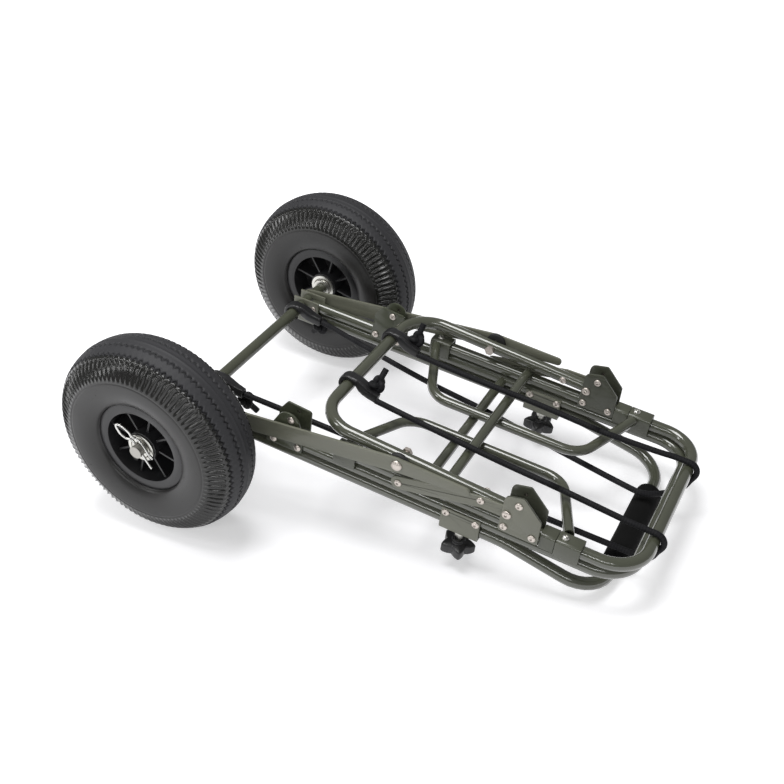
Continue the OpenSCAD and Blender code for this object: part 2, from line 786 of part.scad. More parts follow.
// Prop with a hooked end that sits over the axle while the load rest is folded
module prop(near) {
    notch_d = axle_d + 4 * gap;
    on_side(near) difference() {
        union() {
            rounded_plate([[0, 0, prop_w / 2 + 2], [prop_pivot[0], prop_pivot[1], prop_w / 2]],
                prop_out, prop_out + prop_t);
            rounded_plate([[prop_pivot[0], prop_pivot[1], prop_w / 2 - gap],
                [prop_tip[0], prop_tip[1], prop_w / 4]],
                prop_out, prop_out + prop_t);
        }
        rod_y(prop_pivot, 0, 2 * rail_y, prop_bolt_d + 2 * play);
        rod_y([0, 0], prop_out - 1, prop_out + prop_t + 1, notch_d);
        for (lean = notch_leans) translate([0, prop_out + prop_t / 2, 0]) rotate([0, lean, 0])
            translate([0, 0, -prop_w]) cube([notch_d + gap, prop_t + 2, 2 * prop_w], center = true);
    }
}

module near_prop() {
    color("#54574a") prop(true);
}

module far_prop() {
    color("#54574a") prop(false);
}

module on_wheel(near) {
    in_rails() translate([0, near ? -wheel_y : wheel_y, 0]) mirror([0, near ? 1 : 0, 0])
        rotate([-90, 0, 0]) children();
}

// Point of the tyre's carcass at an angle from its crown
function carcass_point(a) =
    let (mid_r = (tyre_r + rim_d / 2 + 0.5) / 2 - 8)
    [mid_r + (tyre_r - mid_r) * sign(cos(a)) * pow(abs(cos(a)), 0.9),
        tyre_w / 2 * sign(sin(a)) * pow(abs(sin(a)), 0.9)];

// Outline of the tyre's section: a rounded carcass with square shoulders, and beads inside the flanges
function tyre_section() =
    let (bead_r = rim_d / 2 + 0.7, bead_half = rim_half - flange_t - gap, steps = 28, full = 126)
    concat(
        [[seat_r + 0.1, bead_half], [bead_r, bead_half]],
        [for (i = [0:steps]) carcass_point(full - 2 * full * i / steps)],
        [[bead_r, -bead_half], [seat_r + 0.1, -bead_half]]
    );

module tyre(near) {
    on_wheel(near) difference() {
        rotate_extrude() polygon(tyre_section());
        for (y = groove_y) rotate_extrude()
            translate([carcass_point(asin(pow(abs(y) / (tyre_w / 2), 1 / 0.9)))[0] - groove_depth, y - groove_w / 2])
                square([20, groove_w]);
    }
}

module near_tyre() {
    color("#2a2a2b") tyre(true);
}

module far_tyre() {
    color("#2a2a2b") tyre(false);
}

// Moulded rim: barrel, flanges, hub, thin web and ribs
module rim(near) {
    barrel_in = seat_r - 4;
    on_wheel(near) difference() {
        union() {
            rotate_extrude() polygon([
                [barrel_in, -rim_half], [rim_d / 2, -rim_half], [rim_d / 2, -rim_half + flange_t],
                [seat_r, -rim_half + flange_t], [seat_r, rim_half - flange_t],
                [rim_d / 2, rim_half - flange_t], [rim_d / 2, rim_half], [barrel_in, rim_half]
            ]);
            translate([0, 0, -hub_half]) cylinder(d = hub_d, h = 2 * hub_half);
            translate([0, 0, -2]) cylinder(r = barrel_in + 1, h = 4);
            for (i = [0:rib_count - 1]) rotate([0, 0, 360 * i / rib_count + 10])
                translate([hub_d / 2 - 2, -1.5, -24]) cube([barrel_in - hub_d / 2 + 3, 3, 48]);
        }
        translate([0, 0, -hub_half - 1]) cylinder(d = bearing_d - 5, h = 2 * hub_half + 2);
        for (side = [0, 1]) mirror([0, 0, side]) translate([0, 0, hub_half - bearing_w])
            cylinder(d = bearing_d, h = bearing_w + 1);
        rotate([0, 0, valve_turn]) translate([valve_r, 0, -5]) cylinder(d = valve_d, h = 10);
    }
}

module near_rim() {
    color("#1b1b1b") rim(true);
}

module far_rim() {
    color("#1b1b1b") rim(false);
}

module bearings(near) {
    on_wheel(near) for (side = [0, 1]) mirror([0, 0, side]) translate([0, 0, hub_half - bearing_w])
        difference() {
            cylinder(d = bearing_d, h = bearing_w);
            translate([0, 0, -1]) cylinder(r = axle_r + play, h = bearing_w + 2);
        }
}

module near_bearings() {
    color("silver") bearings(true);
}

module far_bearings() {
    color("silver") bearings(false);
}

// Valve stem of the inner tube, through the web of the rim
module valve(near) {
    on_wheel(near) rotate([0, 0, valve_turn]) translate([valve_r, 0, -3]) {
        cylinder(d = valve_d - 0.2, h = 20);
        translate([0, 0, 20]) cylinder(d = valve_d + 1.5, h = 6);
    }
}

module near_valve() {
    color("#202020") valve(true);
}

module far_valve() {
    color("#202020") valve(false);
}

// Spring wire clip: one leg through the axle, a loop, and one leg over the axle's end
module clip(near) {
    in_y = wheel_y + clip_y;
    over_y = wheel_y + axle_past + clip_wire / 2 + gap;
    route = [
        [-24, in_y, 0], [-16, in_y, 0], [16, in_y, 0], [24, in_y, 0], [31, in_y, 0], [37, in_y + 1, 0],
        [41, in_y + 4, 0], [41, over_y - 2, 0], [37, over_y + 2, 0], [30, over_y + 4, 0], [22, over_y + 3, 0],
        [14, over_y, 0], [0, over_y, 0], [-16, over_y, 0], [-25, over_y + 3, 0]
    ];
    on_side(near) rotate([0, -clip_turn, 0]) sweep(route_stations(route), [0, 0, 1], clip_wire, 10);
}

module near_clip() {
    color("silver") clip(true);
}

module far_clip() {
    color("silver") clip(false);
}

main_frame();
bed_frame();
lower_crossbar();
upper_crossbar();
near_side_arm();
far_side_arm();
rail_end_clamps();
arm_end_clamps();
clamp_bolts();
axle();
axle_brackets();
axle_washers();
tube_plugs();
near_catch_bracket();
far_catch_bracket();
catch_pins();
near_hinge_bracket();
far_hinge_bracket();
hinge_pins();
near_knob_bracket();
far_knob_bracket();
knob_nuts();
frame_rivets();
bracket_spacers();
near_lower_hook();
far_lower_hook();
near_cord();
far_cord();
handle_tube();
handle_grip();
handle_plugs();
near_knob();
far_knob();
near_knob_stud();
far_knob_stud();
load_rest_tube();
near_stay();
far_stay();
rest_rivets();
prop_bolts();
prop_washers();
near_upper_hook();
far_upper_hook();
near_prop();
far_prop();
near_tyre();
far_tyre();
near_rim();
far_rim();
near_bearings();
far_bearings();
near_valve();
far_valve();
near_clip();
far_clip();
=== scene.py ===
# A folded two-wheel fishing trolley: olive tube frame, air-filled tyres, sliding handle, hooked elastic cords
import bpy
import bmesh
import json
import math
import numpy as np
from mathutils import Vector
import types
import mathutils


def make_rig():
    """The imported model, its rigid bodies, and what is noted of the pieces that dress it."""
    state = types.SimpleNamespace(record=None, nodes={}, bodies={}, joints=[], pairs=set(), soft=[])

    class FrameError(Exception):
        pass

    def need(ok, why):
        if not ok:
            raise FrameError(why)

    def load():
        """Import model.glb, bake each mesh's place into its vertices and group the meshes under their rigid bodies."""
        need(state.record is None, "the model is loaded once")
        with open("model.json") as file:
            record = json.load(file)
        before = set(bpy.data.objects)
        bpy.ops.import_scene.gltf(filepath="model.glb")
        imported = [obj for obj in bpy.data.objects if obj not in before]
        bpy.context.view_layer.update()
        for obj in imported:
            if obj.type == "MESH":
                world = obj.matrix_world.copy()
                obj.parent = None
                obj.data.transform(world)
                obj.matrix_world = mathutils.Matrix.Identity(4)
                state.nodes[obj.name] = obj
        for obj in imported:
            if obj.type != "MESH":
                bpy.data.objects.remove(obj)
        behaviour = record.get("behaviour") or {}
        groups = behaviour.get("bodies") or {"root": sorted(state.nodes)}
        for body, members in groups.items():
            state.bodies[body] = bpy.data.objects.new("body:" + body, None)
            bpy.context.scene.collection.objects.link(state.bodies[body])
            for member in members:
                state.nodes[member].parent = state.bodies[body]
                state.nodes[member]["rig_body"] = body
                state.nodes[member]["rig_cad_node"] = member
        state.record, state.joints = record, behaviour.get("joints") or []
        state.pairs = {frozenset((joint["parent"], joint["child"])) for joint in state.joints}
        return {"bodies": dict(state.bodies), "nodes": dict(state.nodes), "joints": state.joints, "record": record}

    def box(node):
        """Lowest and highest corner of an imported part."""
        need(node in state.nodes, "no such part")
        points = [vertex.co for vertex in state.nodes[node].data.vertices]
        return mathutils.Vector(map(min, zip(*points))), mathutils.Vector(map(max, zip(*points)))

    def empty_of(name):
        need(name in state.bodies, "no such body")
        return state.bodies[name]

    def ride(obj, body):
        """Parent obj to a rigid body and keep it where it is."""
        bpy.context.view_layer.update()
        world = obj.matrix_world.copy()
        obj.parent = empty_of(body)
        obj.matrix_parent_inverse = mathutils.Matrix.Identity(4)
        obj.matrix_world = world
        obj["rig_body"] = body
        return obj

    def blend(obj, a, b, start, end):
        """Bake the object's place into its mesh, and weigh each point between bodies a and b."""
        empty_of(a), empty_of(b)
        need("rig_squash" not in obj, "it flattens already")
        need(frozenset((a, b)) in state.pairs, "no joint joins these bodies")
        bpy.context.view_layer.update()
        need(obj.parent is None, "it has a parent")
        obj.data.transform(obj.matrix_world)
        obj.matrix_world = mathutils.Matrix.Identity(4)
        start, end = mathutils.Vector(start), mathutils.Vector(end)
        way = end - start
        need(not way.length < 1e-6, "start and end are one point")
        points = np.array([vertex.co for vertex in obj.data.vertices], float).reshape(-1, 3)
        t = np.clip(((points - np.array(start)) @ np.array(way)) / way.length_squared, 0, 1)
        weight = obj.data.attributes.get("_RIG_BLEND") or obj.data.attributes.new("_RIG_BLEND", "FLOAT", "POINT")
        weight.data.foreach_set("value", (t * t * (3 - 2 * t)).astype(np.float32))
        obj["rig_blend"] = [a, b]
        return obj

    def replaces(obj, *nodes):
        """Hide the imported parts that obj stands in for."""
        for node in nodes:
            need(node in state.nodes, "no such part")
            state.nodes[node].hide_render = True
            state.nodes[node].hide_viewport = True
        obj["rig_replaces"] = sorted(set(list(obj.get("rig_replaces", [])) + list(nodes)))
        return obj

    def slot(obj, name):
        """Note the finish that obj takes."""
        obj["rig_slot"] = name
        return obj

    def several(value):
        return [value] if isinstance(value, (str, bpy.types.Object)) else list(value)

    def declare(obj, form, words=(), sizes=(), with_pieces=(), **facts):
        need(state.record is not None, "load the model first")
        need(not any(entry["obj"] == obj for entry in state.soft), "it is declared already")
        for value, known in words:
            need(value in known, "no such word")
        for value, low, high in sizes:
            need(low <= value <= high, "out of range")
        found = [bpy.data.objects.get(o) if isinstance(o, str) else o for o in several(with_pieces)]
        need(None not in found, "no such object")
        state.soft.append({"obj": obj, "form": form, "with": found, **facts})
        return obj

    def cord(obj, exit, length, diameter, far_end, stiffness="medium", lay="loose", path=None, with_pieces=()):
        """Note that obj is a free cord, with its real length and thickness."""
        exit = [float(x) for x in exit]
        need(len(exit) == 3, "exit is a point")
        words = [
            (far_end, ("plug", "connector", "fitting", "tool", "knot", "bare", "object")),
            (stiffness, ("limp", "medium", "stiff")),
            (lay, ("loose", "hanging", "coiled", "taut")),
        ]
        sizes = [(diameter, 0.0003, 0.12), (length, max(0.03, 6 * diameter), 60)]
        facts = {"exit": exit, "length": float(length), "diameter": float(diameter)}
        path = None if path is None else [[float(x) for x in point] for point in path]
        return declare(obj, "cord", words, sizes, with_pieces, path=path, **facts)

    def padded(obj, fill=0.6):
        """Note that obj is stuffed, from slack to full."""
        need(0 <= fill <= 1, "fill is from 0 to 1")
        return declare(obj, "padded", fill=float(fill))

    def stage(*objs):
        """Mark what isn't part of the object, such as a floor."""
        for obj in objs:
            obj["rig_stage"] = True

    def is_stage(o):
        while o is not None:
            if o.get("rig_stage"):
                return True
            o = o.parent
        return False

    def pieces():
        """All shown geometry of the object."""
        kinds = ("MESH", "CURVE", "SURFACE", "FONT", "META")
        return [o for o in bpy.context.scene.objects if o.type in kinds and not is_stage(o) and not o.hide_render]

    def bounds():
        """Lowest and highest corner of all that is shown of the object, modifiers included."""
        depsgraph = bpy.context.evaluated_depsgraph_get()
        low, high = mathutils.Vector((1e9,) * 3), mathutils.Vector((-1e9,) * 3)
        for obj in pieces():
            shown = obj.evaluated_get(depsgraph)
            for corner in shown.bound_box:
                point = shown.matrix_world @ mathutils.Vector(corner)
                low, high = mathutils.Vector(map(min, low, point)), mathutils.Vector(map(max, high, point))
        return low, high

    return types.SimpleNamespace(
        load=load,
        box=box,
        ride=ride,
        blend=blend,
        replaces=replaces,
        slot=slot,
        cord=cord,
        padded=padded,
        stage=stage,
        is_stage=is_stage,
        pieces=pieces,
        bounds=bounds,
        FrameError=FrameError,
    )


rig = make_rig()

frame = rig.load()
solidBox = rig.bounds()
print("frame loaded:", len(frame["nodes"]), "nodes")

# The rails lean towards the grip; places along, across and above them are in millimetres
rails = {"lean": math.radians(7.97930), "middle": 0.232081, "axleHeight": 0.13}
# how far each layer of plates lies from the middle
sideLayers = {"innerPlate": 123.2, "innerTube": 125.7, "outerPlate": 144.8, "coverPlate": 147.6}
wheelY = 0.216
# points closer than this are one
sameSpot = 2e-6


def railPoint(s, y, n):
    c, t = math.cos(rails["lean"]), math.sin(rails["lean"])
    return Vector((-rails["middle"] + (s * c + n * t) / 1000, y / 1000,
                   rails["axleHeight"] + (n * c - s * t) / 1000))


# Camera at the photograph's viewing angle
cameraSettings = {"place": (0.529676, -1.049621, 0.934431), "lens": 51.3935,
                  "turn": (0.861480, 0.450459, 0.116808, 0.203211)}
cameraData = bpy.data.cameras.new("camera")
cameraData.lens = cameraSettings["lens"]
cameraData.sensor_width = 36
camera = bpy.data.objects.new("camera", cameraData)
camera.location = cameraSettings["place"]
camera.rotation_mode = "QUATERNION"
camera.rotation_quaternion = cameraSettings["turn"]
bpy.context.collection.objects.link(camera)
bpy.context.scene.camera = camera


def newObject(name, mesh):
    piece = bpy.data.objects.new(name, mesh)
    bpy.context.collection.objects.link(piece)
    return piece


def meshFrom(name, points, faces):
    mesh = bpy.data.meshes.new(name)
    mesh.from_pydata([tuple(p) for p in points], [], faces)
    mesh.update()
    return mesh


def bandFaces(start, ring, n):
    # faces between one ring of n points and the next one
    low, high = start + ring * n, start + (ring + 1) * n
    return [(low + k, low + (k + 1) % n, high + (k + 1) % n, high + k) for k in range(n)]


def smoothAll(mesh):
    mesh.polygons.foreach_set("use_smooth", [True] * len(mesh.polygons))
    mesh.update()


def faceOutward(mesh):
    work = bmesh.new()
    work.from_mesh(mesh)
    bmesh.ops.recalc_face_normals(work, faces=work.faces)
    work.to_mesh(mesh)
    work.free()


def roundEdges(piece, width, steps, sharperThan):
    edges = piece.modifiers.new("edges", "BEVEL")
    edges.width = width
    edges.segments = steps
    edges.limit_method = "ANGLE"
    edges.angle_limit = math.radians(sharperThan)


def settle(piece):
    # turns what the modifiers make into one plain mesh
    graph = bpy.context.evaluated_depsgraph_get()
    mesh = bpy.data.meshes.new_from_object(piece.evaluated_get(graph))
    piece.modifiers.clear()
    piece.data = mesh


def newGroup(name, inputs, outputs):
    group = bpy.data.node_groups.new(name, "ShaderNodeTree")
    for label, value in inputs:
        socket = group.interface.new_socket(label, in_out="INPUT", socket_type="NodeSocketFloat")
        socket.default_value = value
    for label in outputs:
        group.interface.new_socket(label, in_out="OUTPUT", socket_type="NodeSocketFloat")
    return group, group.nodes.new("NodeGroupInput"), group.nodes.new("NodeGroupOutput")


def mathNode(tree, kind, a, b=None):
    node = tree.nodes.new("ShaderNodeMath")
    node.operation = kind
    for slotIndex, value in enumerate((a, b)):
        if value is None:
            continue
        if isinstance(value, (int, float)):
            node.inputs[slotIndex].default_value = value
        else:
            tree.links.new(value, node.inputs[slotIndex])
    return node.outputs[0]


variationSettings = {"details": {"Patches": 3, "Grain": 2}, "speckDetail": 4, "specksPerPatch": 14,
                     "speckFrom": 0.66, "speckTo": 0.74}


def buildVariation():
    # broad patches, fine grain and sparse specks over Object coordinates
    v = variationSettings
    group, given, out = newGroup("surfaceVariation", [("Patch Scale", 12), ("Grain Scale", 900)],
                                 ["Patches", "Grain", "Specks"])
    where = group.nodes.new("ShaderNodeTexCoord")
    for label, scaleFrom in (("Patches", "Patch Scale"), ("Grain", "Grain Scale")):
        noise = group.nodes.new("ShaderNodeTexNoise")
        noise.inputs["Detail"].default_value = v["details"][label]
        group.links.new(where.outputs["Object"], noise.inputs["Vector"])
        group.links.new(given.outputs[scaleFrom], noise.inputs["Scale"])
        group.links.new(noise.outputs["Fac"], out.inputs[label])
    cells = group.nodes.new("ShaderNodeTexNoise")
    cells.inputs["Detail"].default_value = v["speckDetail"]
    group.links.new(where.outputs["Object"], cells.inputs["Vector"])
    group.links.new(mathNode(group, "MULTIPLY", given.outputs["Patch Scale"], v["specksPerPatch"]),
                    cells.inputs["Scale"])
    ramp = group.nodes.new("ShaderNodeMapRange")
    ramp.inputs["From Min"].default_value = v["speckFrom"]
    ramp.inputs["From Max"].default_value = v["speckTo"]
    group.links.new(cells.outputs["Fac"], ramp.inputs["Value"])
    group.links.new(ramp.outputs["Result"], out.inputs["Specks"])
    return group


def buildBraid():
    # crossing strands over a cord's own UV map: u round it, v along it
    group, given, out = newGroup("braid", [("Strands", 8), ("Along", 150)], ["Height", "Strand"])
    where = group.nodes.new("ShaderNodeUVMap")
    split = group.nodes.new("ShaderNodeSeparateXYZ")
    group.links.new(where.outputs["UV"], split.inputs["Vector"])
    u = mathNode(group, "MULTIPLY", split.outputs["X"], given.outputs["Strands"])
    v = mathNode(group, "MULTIPLY", split.outputs["Y"], given.outputs["Along"])
    waves = []
    for kind in ("ADD", "SUBTRACT"):
        turned = mathNode(group, "MULTIPLY", mathNode(group, kind, u, v), 2 * math.pi)
        waves.append(mathNode(group, "SINE", turned))
    group.links.new(mathNode(group, "MAXIMUM", waves[0], waves[1]), out.inputs["Height"])
    crossing = mathNode(group, "MULTIPLY", waves[0], waves[1])
    strand = mathNode(group, "MULTIPLY", mathNode(group, "ADD", crossing, 1), 0.5)
    group.links.new(strand, out.inputs["Strand"])
    return group


variation = buildVariation()
braid = buildBraid()

finishes = {
    "olive_paint": {"dark": (0.056, 0.060, 0.042), "light": (0.086, 0.091, 0.064), "rough": (0.14, 0.24),
                    "coat": 1.0, "patch": 14, "grain": 1300, "bump": 0.05, "speck": 0.05},
    "plate_paint": {"dark": (0.130, 0.133, 0.100), "light": (0.172, 0.175, 0.134), "rough": (0.34, 0.48),
                    "coat": 0.25, "patch": 18, "grain": 1500, "bump": 0.07, "speck": 0.06},
    "zinc": {"dark": (0.50, 0.50, 0.47), "light": (0.70, 0.69, 0.64), "rough": (0.26, 0.42), "metal": 1,
             "patch": 60, "grain": 2400, "bump": 0.08, "speck": 0.15},
    "bright_steel": {"dark": (0.54, 0.54, 0.52), "light": (0.72, 0.72, 0.70), "rough": (0.22, 0.34),
                     "metal": 1, "patch": 90, "grain": 3000, "bump": 0.04, "speck": 0.1},
    "rivet_steel": {"dark": (0.50, 0.45, 0.41), "light": (0.66, 0.61, 0.56), "rough": (0.38, 0.50),
                    "metal": 1, "patch": 120, "grain": 2600, "bump": 0.05, "speck": 0.1},
    "black_plastic": {"dark": (0.011, 0.011, 0.012), "light": (0.020, 0.020, 0.021), "rough": (0.26, 0.38),
                      "patch": 40, "grain": 2600, "bump": 0.06, "speck": 0.1},
    "matte_black": {"dark": (0.012, 0.012, 0.012), "light": (0.024, 0.024, 0.024), "rough": (0.5, 0.65),
                    "patch": 40, "grain": 2600, "bump": 0.1, "speck": 0.1},
    "rim_plastic": {"dark": (0.008, 0.008, 0.009), "light": (0.016, 0.016, 0.017), "rough": (0.32, 0.44),
                    "patch": 22, "grain": 1800, "bump": 0.08, "speck": 0.1},
    "tyre_rubber": {"dark": (0.007, 0.007, 0.007), "light": (0.016, 0.015, 0.014), "rough": (0.30, 0.44),
                    "patch": 16, "grain": 1300, "bump": 0.12, "speck": 0.25},
    "foam": {"dark": (0.003, 0.003, 0.003), "light": (0.009, 0.009, 0.009), "rough": (0.85, 0.95),
             "patch": 50, "grain": 950, "bump": 0.6, "speck": 0.2, "shine": 0.15},
    "cord_cover": {"dark": (0.003, 0.003, 0.004), "light": (0.016, 0.016, 0.018), "rough": (0.55, 0.75),
                   "patch": 60, "grain": 2500, "bump": 0.1, "speck": 0.0, "shine": 0.2, "braided": True},
}

# what all finishes share: the coat's roughness, the patches' range that changes roughness, and the relief
sharedLook = {"coatRough": 0.05, "patchFrom": 0.3, "patchTo": 0.7, "strandHeight": 3, "bumpDistance": 0.0004}


def makeMaterial(name, look):
    material = bpy.data.materials.new(name)
    material.use_nodes = True
    tree = material.node_tree
    shader = tree.nodes["Principled BSDF"]
    shader.inputs["Metallic"].default_value = look.get("metal", 0)
    shader.inputs["Coat Weight"].default_value = look.get("coat", 0)
    shader.inputs["Coat Roughness"].default_value = sharedLook["coatRough"]
    shader.inputs["Specular IOR Level"].default_value = look.get("shine", 0.5)
    parts = tree.nodes.new("ShaderNodeGroup")
    parts.node_tree = variation
    parts.inputs["Patch Scale"].default_value = look["patch"]
    parts.inputs["Grain Scale"].default_value = look["grain"]
    mask, height = parts.outputs["Patches"], parts.outputs["Grain"]
    if look.get("braided"):
        strands = tree.nodes.new("ShaderNodeGroup")
        strands.node_tree = braid
        mask = strands.outputs["Strand"]
        woven = mathNode(tree, "MULTIPLY", strands.outputs["Height"], sharedLook["strandHeight"])
        height = mathNode(tree, "ADD", woven, height)
    tint = tree.nodes.new("ShaderNodeMix")
    tint.data_type = "RGBA"
    tint.inputs[6].default_value = (*look["dark"], 1)
    tint.inputs[7].default_value = (*look["light"], 1)
    tree.links.new(mask, tint.inputs["Factor"])
    tree.links.new(tint.outputs[2], shader.inputs["Base Color"])
    roughness = tree.nodes.new("ShaderNodeMapRange")
    roughness.inputs["From Min"].default_value = sharedLook["patchFrom"]
    roughness.inputs["From Max"].default_value = sharedLook["patchTo"]
    roughness.inputs["To Min"].default_value, roughness.inputs["To Max"].default_value = look["rough"]
    tree.links.new(parts.outputs["Patches"], roughness.inputs["Value"])
    worn = mathNode(tree, "ADD", roughness.outputs["Result"],
                    mathNode(tree, "MULTIPLY", parts.outputs["Specks"], look["speck"]))
    tree.links.new(worn, shader.inputs["Roughness"])
    bump = tree.nodes.new("ShaderNodeBump")
    bump.inputs["Strength"].default_value = look["bump"]
    bump.inputs["Distance"].default_value = sharedLook["bumpDistance"]
    tree.links.new(height, bump.inputs["Height"])
    tree.links.new(bump.outputs["Normal"], shader.inputs["Normal"])
    return material


materials = {name: makeMaterial(name, look) for name, look in finishes.items()}


def finishPiece(piece, slotName, body=None, nodes=()):
    piece.data.materials.clear()
    piece.data.materials.append(materials[slotName])
    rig.slot(piece, slotName)
    if nodes:
        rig.replaces(piece, *nodes)
    if body:
        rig.ride(piece, body)
    return piece


print("materials made:", len(materials))


def smoothRoute(points, steps):
    # a smooth curve through every point of the route
    p = [np.array(q) for q in points]
    p = [2 * p[0] - p[1]] + p + [2 * p[-1] - p[-2]]
    route = []
    for i in range(1, len(p) - 2):
        for k in range(steps):
            t = k / steps
            m1, m2 = (p[i + 1] - p[i - 1]) / 2, (p[i + 2] - p[i]) / 2
            route.append((2 * t**3 - 3 * t**2 + 1) * p[i] + (t**3 - 2 * t**2 + t) * m1
                         + (3 * t**2 - 2 * t**3) * p[i + 1] + (t**3 - t**2) * m2)
    route.append(p[-2])
    return np.array(route)


def sweptTube(name, route, radius, sides):
    # closed tube along a route, with a UV map round it and along it, and the route's length
    along = np.gradient(route, axis=0)
    along /= np.linalg.norm(along, axis=1)[:, None]
    across = np.cross(along[0], (0, 0, 1))
    across /= np.linalg.norm(across)
    points, faces, lengths = [], [], [0.0]
    for i, (centre, ahead) in enumerate(zip(route, along)):
        across = across - ahead * (across @ ahead)
        across /= np.linalg.norm(across)
        up = np.cross(ahead, across)
        if i:
            lengths.append(lengths[-1] + float(np.linalg.norm(centre - route[i - 1])))
        for k in range(sides):
            a = 2 * math.pi * k / sides
            points.append(centre + radius * (math.cos(a) * across + math.sin(a) * up))
    rings = len(route)
    uv = []
    for i in range(rings - 1):
        faces += bandFaces(0, i, sides)
        for k in range(sides):
            uv += [(k / sides, lengths[i]), ((k + 1) / sides, lengths[i]),
                   ((k + 1) / sides, lengths[i + 1]), (k / sides, lengths[i + 1])]
    faces.append(tuple(range(sides - 1, -1, -1)))
    faces.append(tuple((rings - 1) * sides + k for k in range(sides)))
    uv += [(0.5, 0.0)] * sides + [(0.5, lengths[-1])] * sides
    mesh = meshFrom(name, points, faces)
    layer = mesh.uv_layers.new(name="UVMap")
    layer.data.foreach_set("uv", np.array(uv).ravel())
    smoothAll(mesh)
    return mesh, lengths[-1]


cordSettings = {
    "diameter": 0.0075, "sides": 20, "steps": 5,
    # route points along, across and above the rails, from the upper hook round both end bars to the axle
    "near": [(212, -57, 42), (221, -57.5, 41.5), (313, -64, 39), (385, -67, 36), (461, -68, 33),
             (538, -71, 30), (562, -71, 28.8), (576, -70.5, 28.3), (583, -70.5, 28.3), (588.5, -70.5, 26.6),
             (592.5, -71, 22.5), (594, -71, 17), (593, -71.5, 11.5), (589.5, -71.5, 3.5), (586.5, -72, -4.7),
             (582.3, -72, -10.2), (575, -72, -12), (560, -73, -12.2), (324, -77, -12), (300, -78, -11.8),
             (173, -84.5, -6.2), (60, -91.5, -1.5), (43, -92, -1)],
    "far": [(212, 60, 42), (221, 60, 41.5), (299, 59, 39.5), (384, 62, 36.3), (467, 62, 33), (531, 68, 30.2),
            (562, 73, 28.8), (576, 74, 28.3), (583, 74, 28.3), (588.5, 74, 26.6), (592.5, 73.5, 22.5),
            (594, 73, 17), (593, 72.5, 11.5), (589.5, 71.5, 3.5), (586.5, 70, -4.7), (582.3, 67, -10.2),
            (575, 60, -12), (562, 46, -12.4), (546, 36, -12.6), (527, 35, -12.6), (428, 51, -12.6),
            (324, 69, -12.2), (300, 72, -11.8), (227, 77, -8.3), (150, 88, -5.3), (60, 103, -1.5),
            (43, 105, -1)],
    # route point where the upper run, which goes up with the load rest, meets the lower run on the frame,
    # and the share of its last step by which the upper run stops short
    "runsMeet": 4, "runGap": 0.01,
}
hookSettings = {
    # a plastic band that hugs a bar and slims towards its free end
    "innerRadius": 8.5, "bandThickness": 5.6, "bandWidth": 15, "from": 35, "to": 292, "bandSteps": 36,
    "slimFrom": 0.86, "slimBy": 0.55,
    # sections of the shank: how far out, how far above, half height and half width
    "shank": [(3, 11.5, 3, 7), (9, 9.5, 5, 7.6), (15, 6.5, 7, 8), (22, 4, 7.2, 8), (30, 1.8, 6.6, 7)],
    "shankEnd": (0, 6, 5.6), "ribSunk": 0.2, "ribInset": 2, "ribHeight": 1.3, "ribWidth": 1.1,
    "sectionSides": 20, "squareness": 0.5, "voxel": 0.0008, "softenings": 3, "softness": 0.5,
    "knotSize": 2.7, "knotDepth": 3.2, "knotPoints": 50, "knotSteps": 3, "knotSides": 16, "knotCord": 0.0040,
    "tailLength": 22, "tailTip": 5, "tailStart": 9,
    # the bar that each hook hangs on and its knot (along, across, above), and the shank's end (along, above)
    "places": {
        "nearUpper": {"body": "load_rest", "node": "near_upper_hook", "bar": (172, -56, 49.2),
                      "end": (212, 42), "shift": 4, "knot": (205, -43, 56),
                      "facing": (0.1, -0.5, 0.85), "tail": (0.1, 0.75, 0.65)},
        "farUpper": {"body": "load_rest", "node": "far_upper_hook", "bar": (172, 61, 49.2),
                     "end": (212, 42), "shift": 2, "knot": (203, 73, 56),
                     "facing": (0.1, -0.4, 0.9), "tail": (0.05, 0.6, 0.8)},
        "nearLower": {"body": "frame", "node": "near_lower_hook", "bar": (0, -92, 0),
                      "end": (43, -1), "shift": 0, "knot": (43, -87, -15),
                      "facing": (0.2, -0.6, 0.7), "tail": (0.6, 0.3, -0.7)},
        "farLower": {"body": "frame", "node": "far_lower_hook", "bar": (0, 105, 0),
                     "end": (43, -1), "shift": 0, "knot": (40, 112, -14),
                     "facing": (0.2, -0.6, 0.7), "tail": (-0.6, 0.2, -0.7)},
    },
}


def roundedSection(centre, first, second, halfFirst, halfSecond):
    section, sides, power = [], hookSettings["sectionSides"], hookSettings["squareness"]
    for k in range(sides):
        a = 2 * math.pi * k / sides
        c, s = math.cos(a), math.sin(a)
        section.append(centre + first * halfFirst * math.copysign(abs(c) ** power, c)
                       + second * halfSecond * math.copysign(abs(s) ** power, s))
    return section


def skinOver(points, faces, sections):
    # closed skin over one row of sections
    base, n = len(points), len(sections[0])
    for section in sections:
        points += section
    for i in range(len(sections) - 1):
        faces += bandFaces(base, i, n)
    faces.append(tuple(base + k for k in range(n - 1, -1, -1)))
    faces.append(tuple(base + (len(sections) - 1) * n + k for k in range(n)))


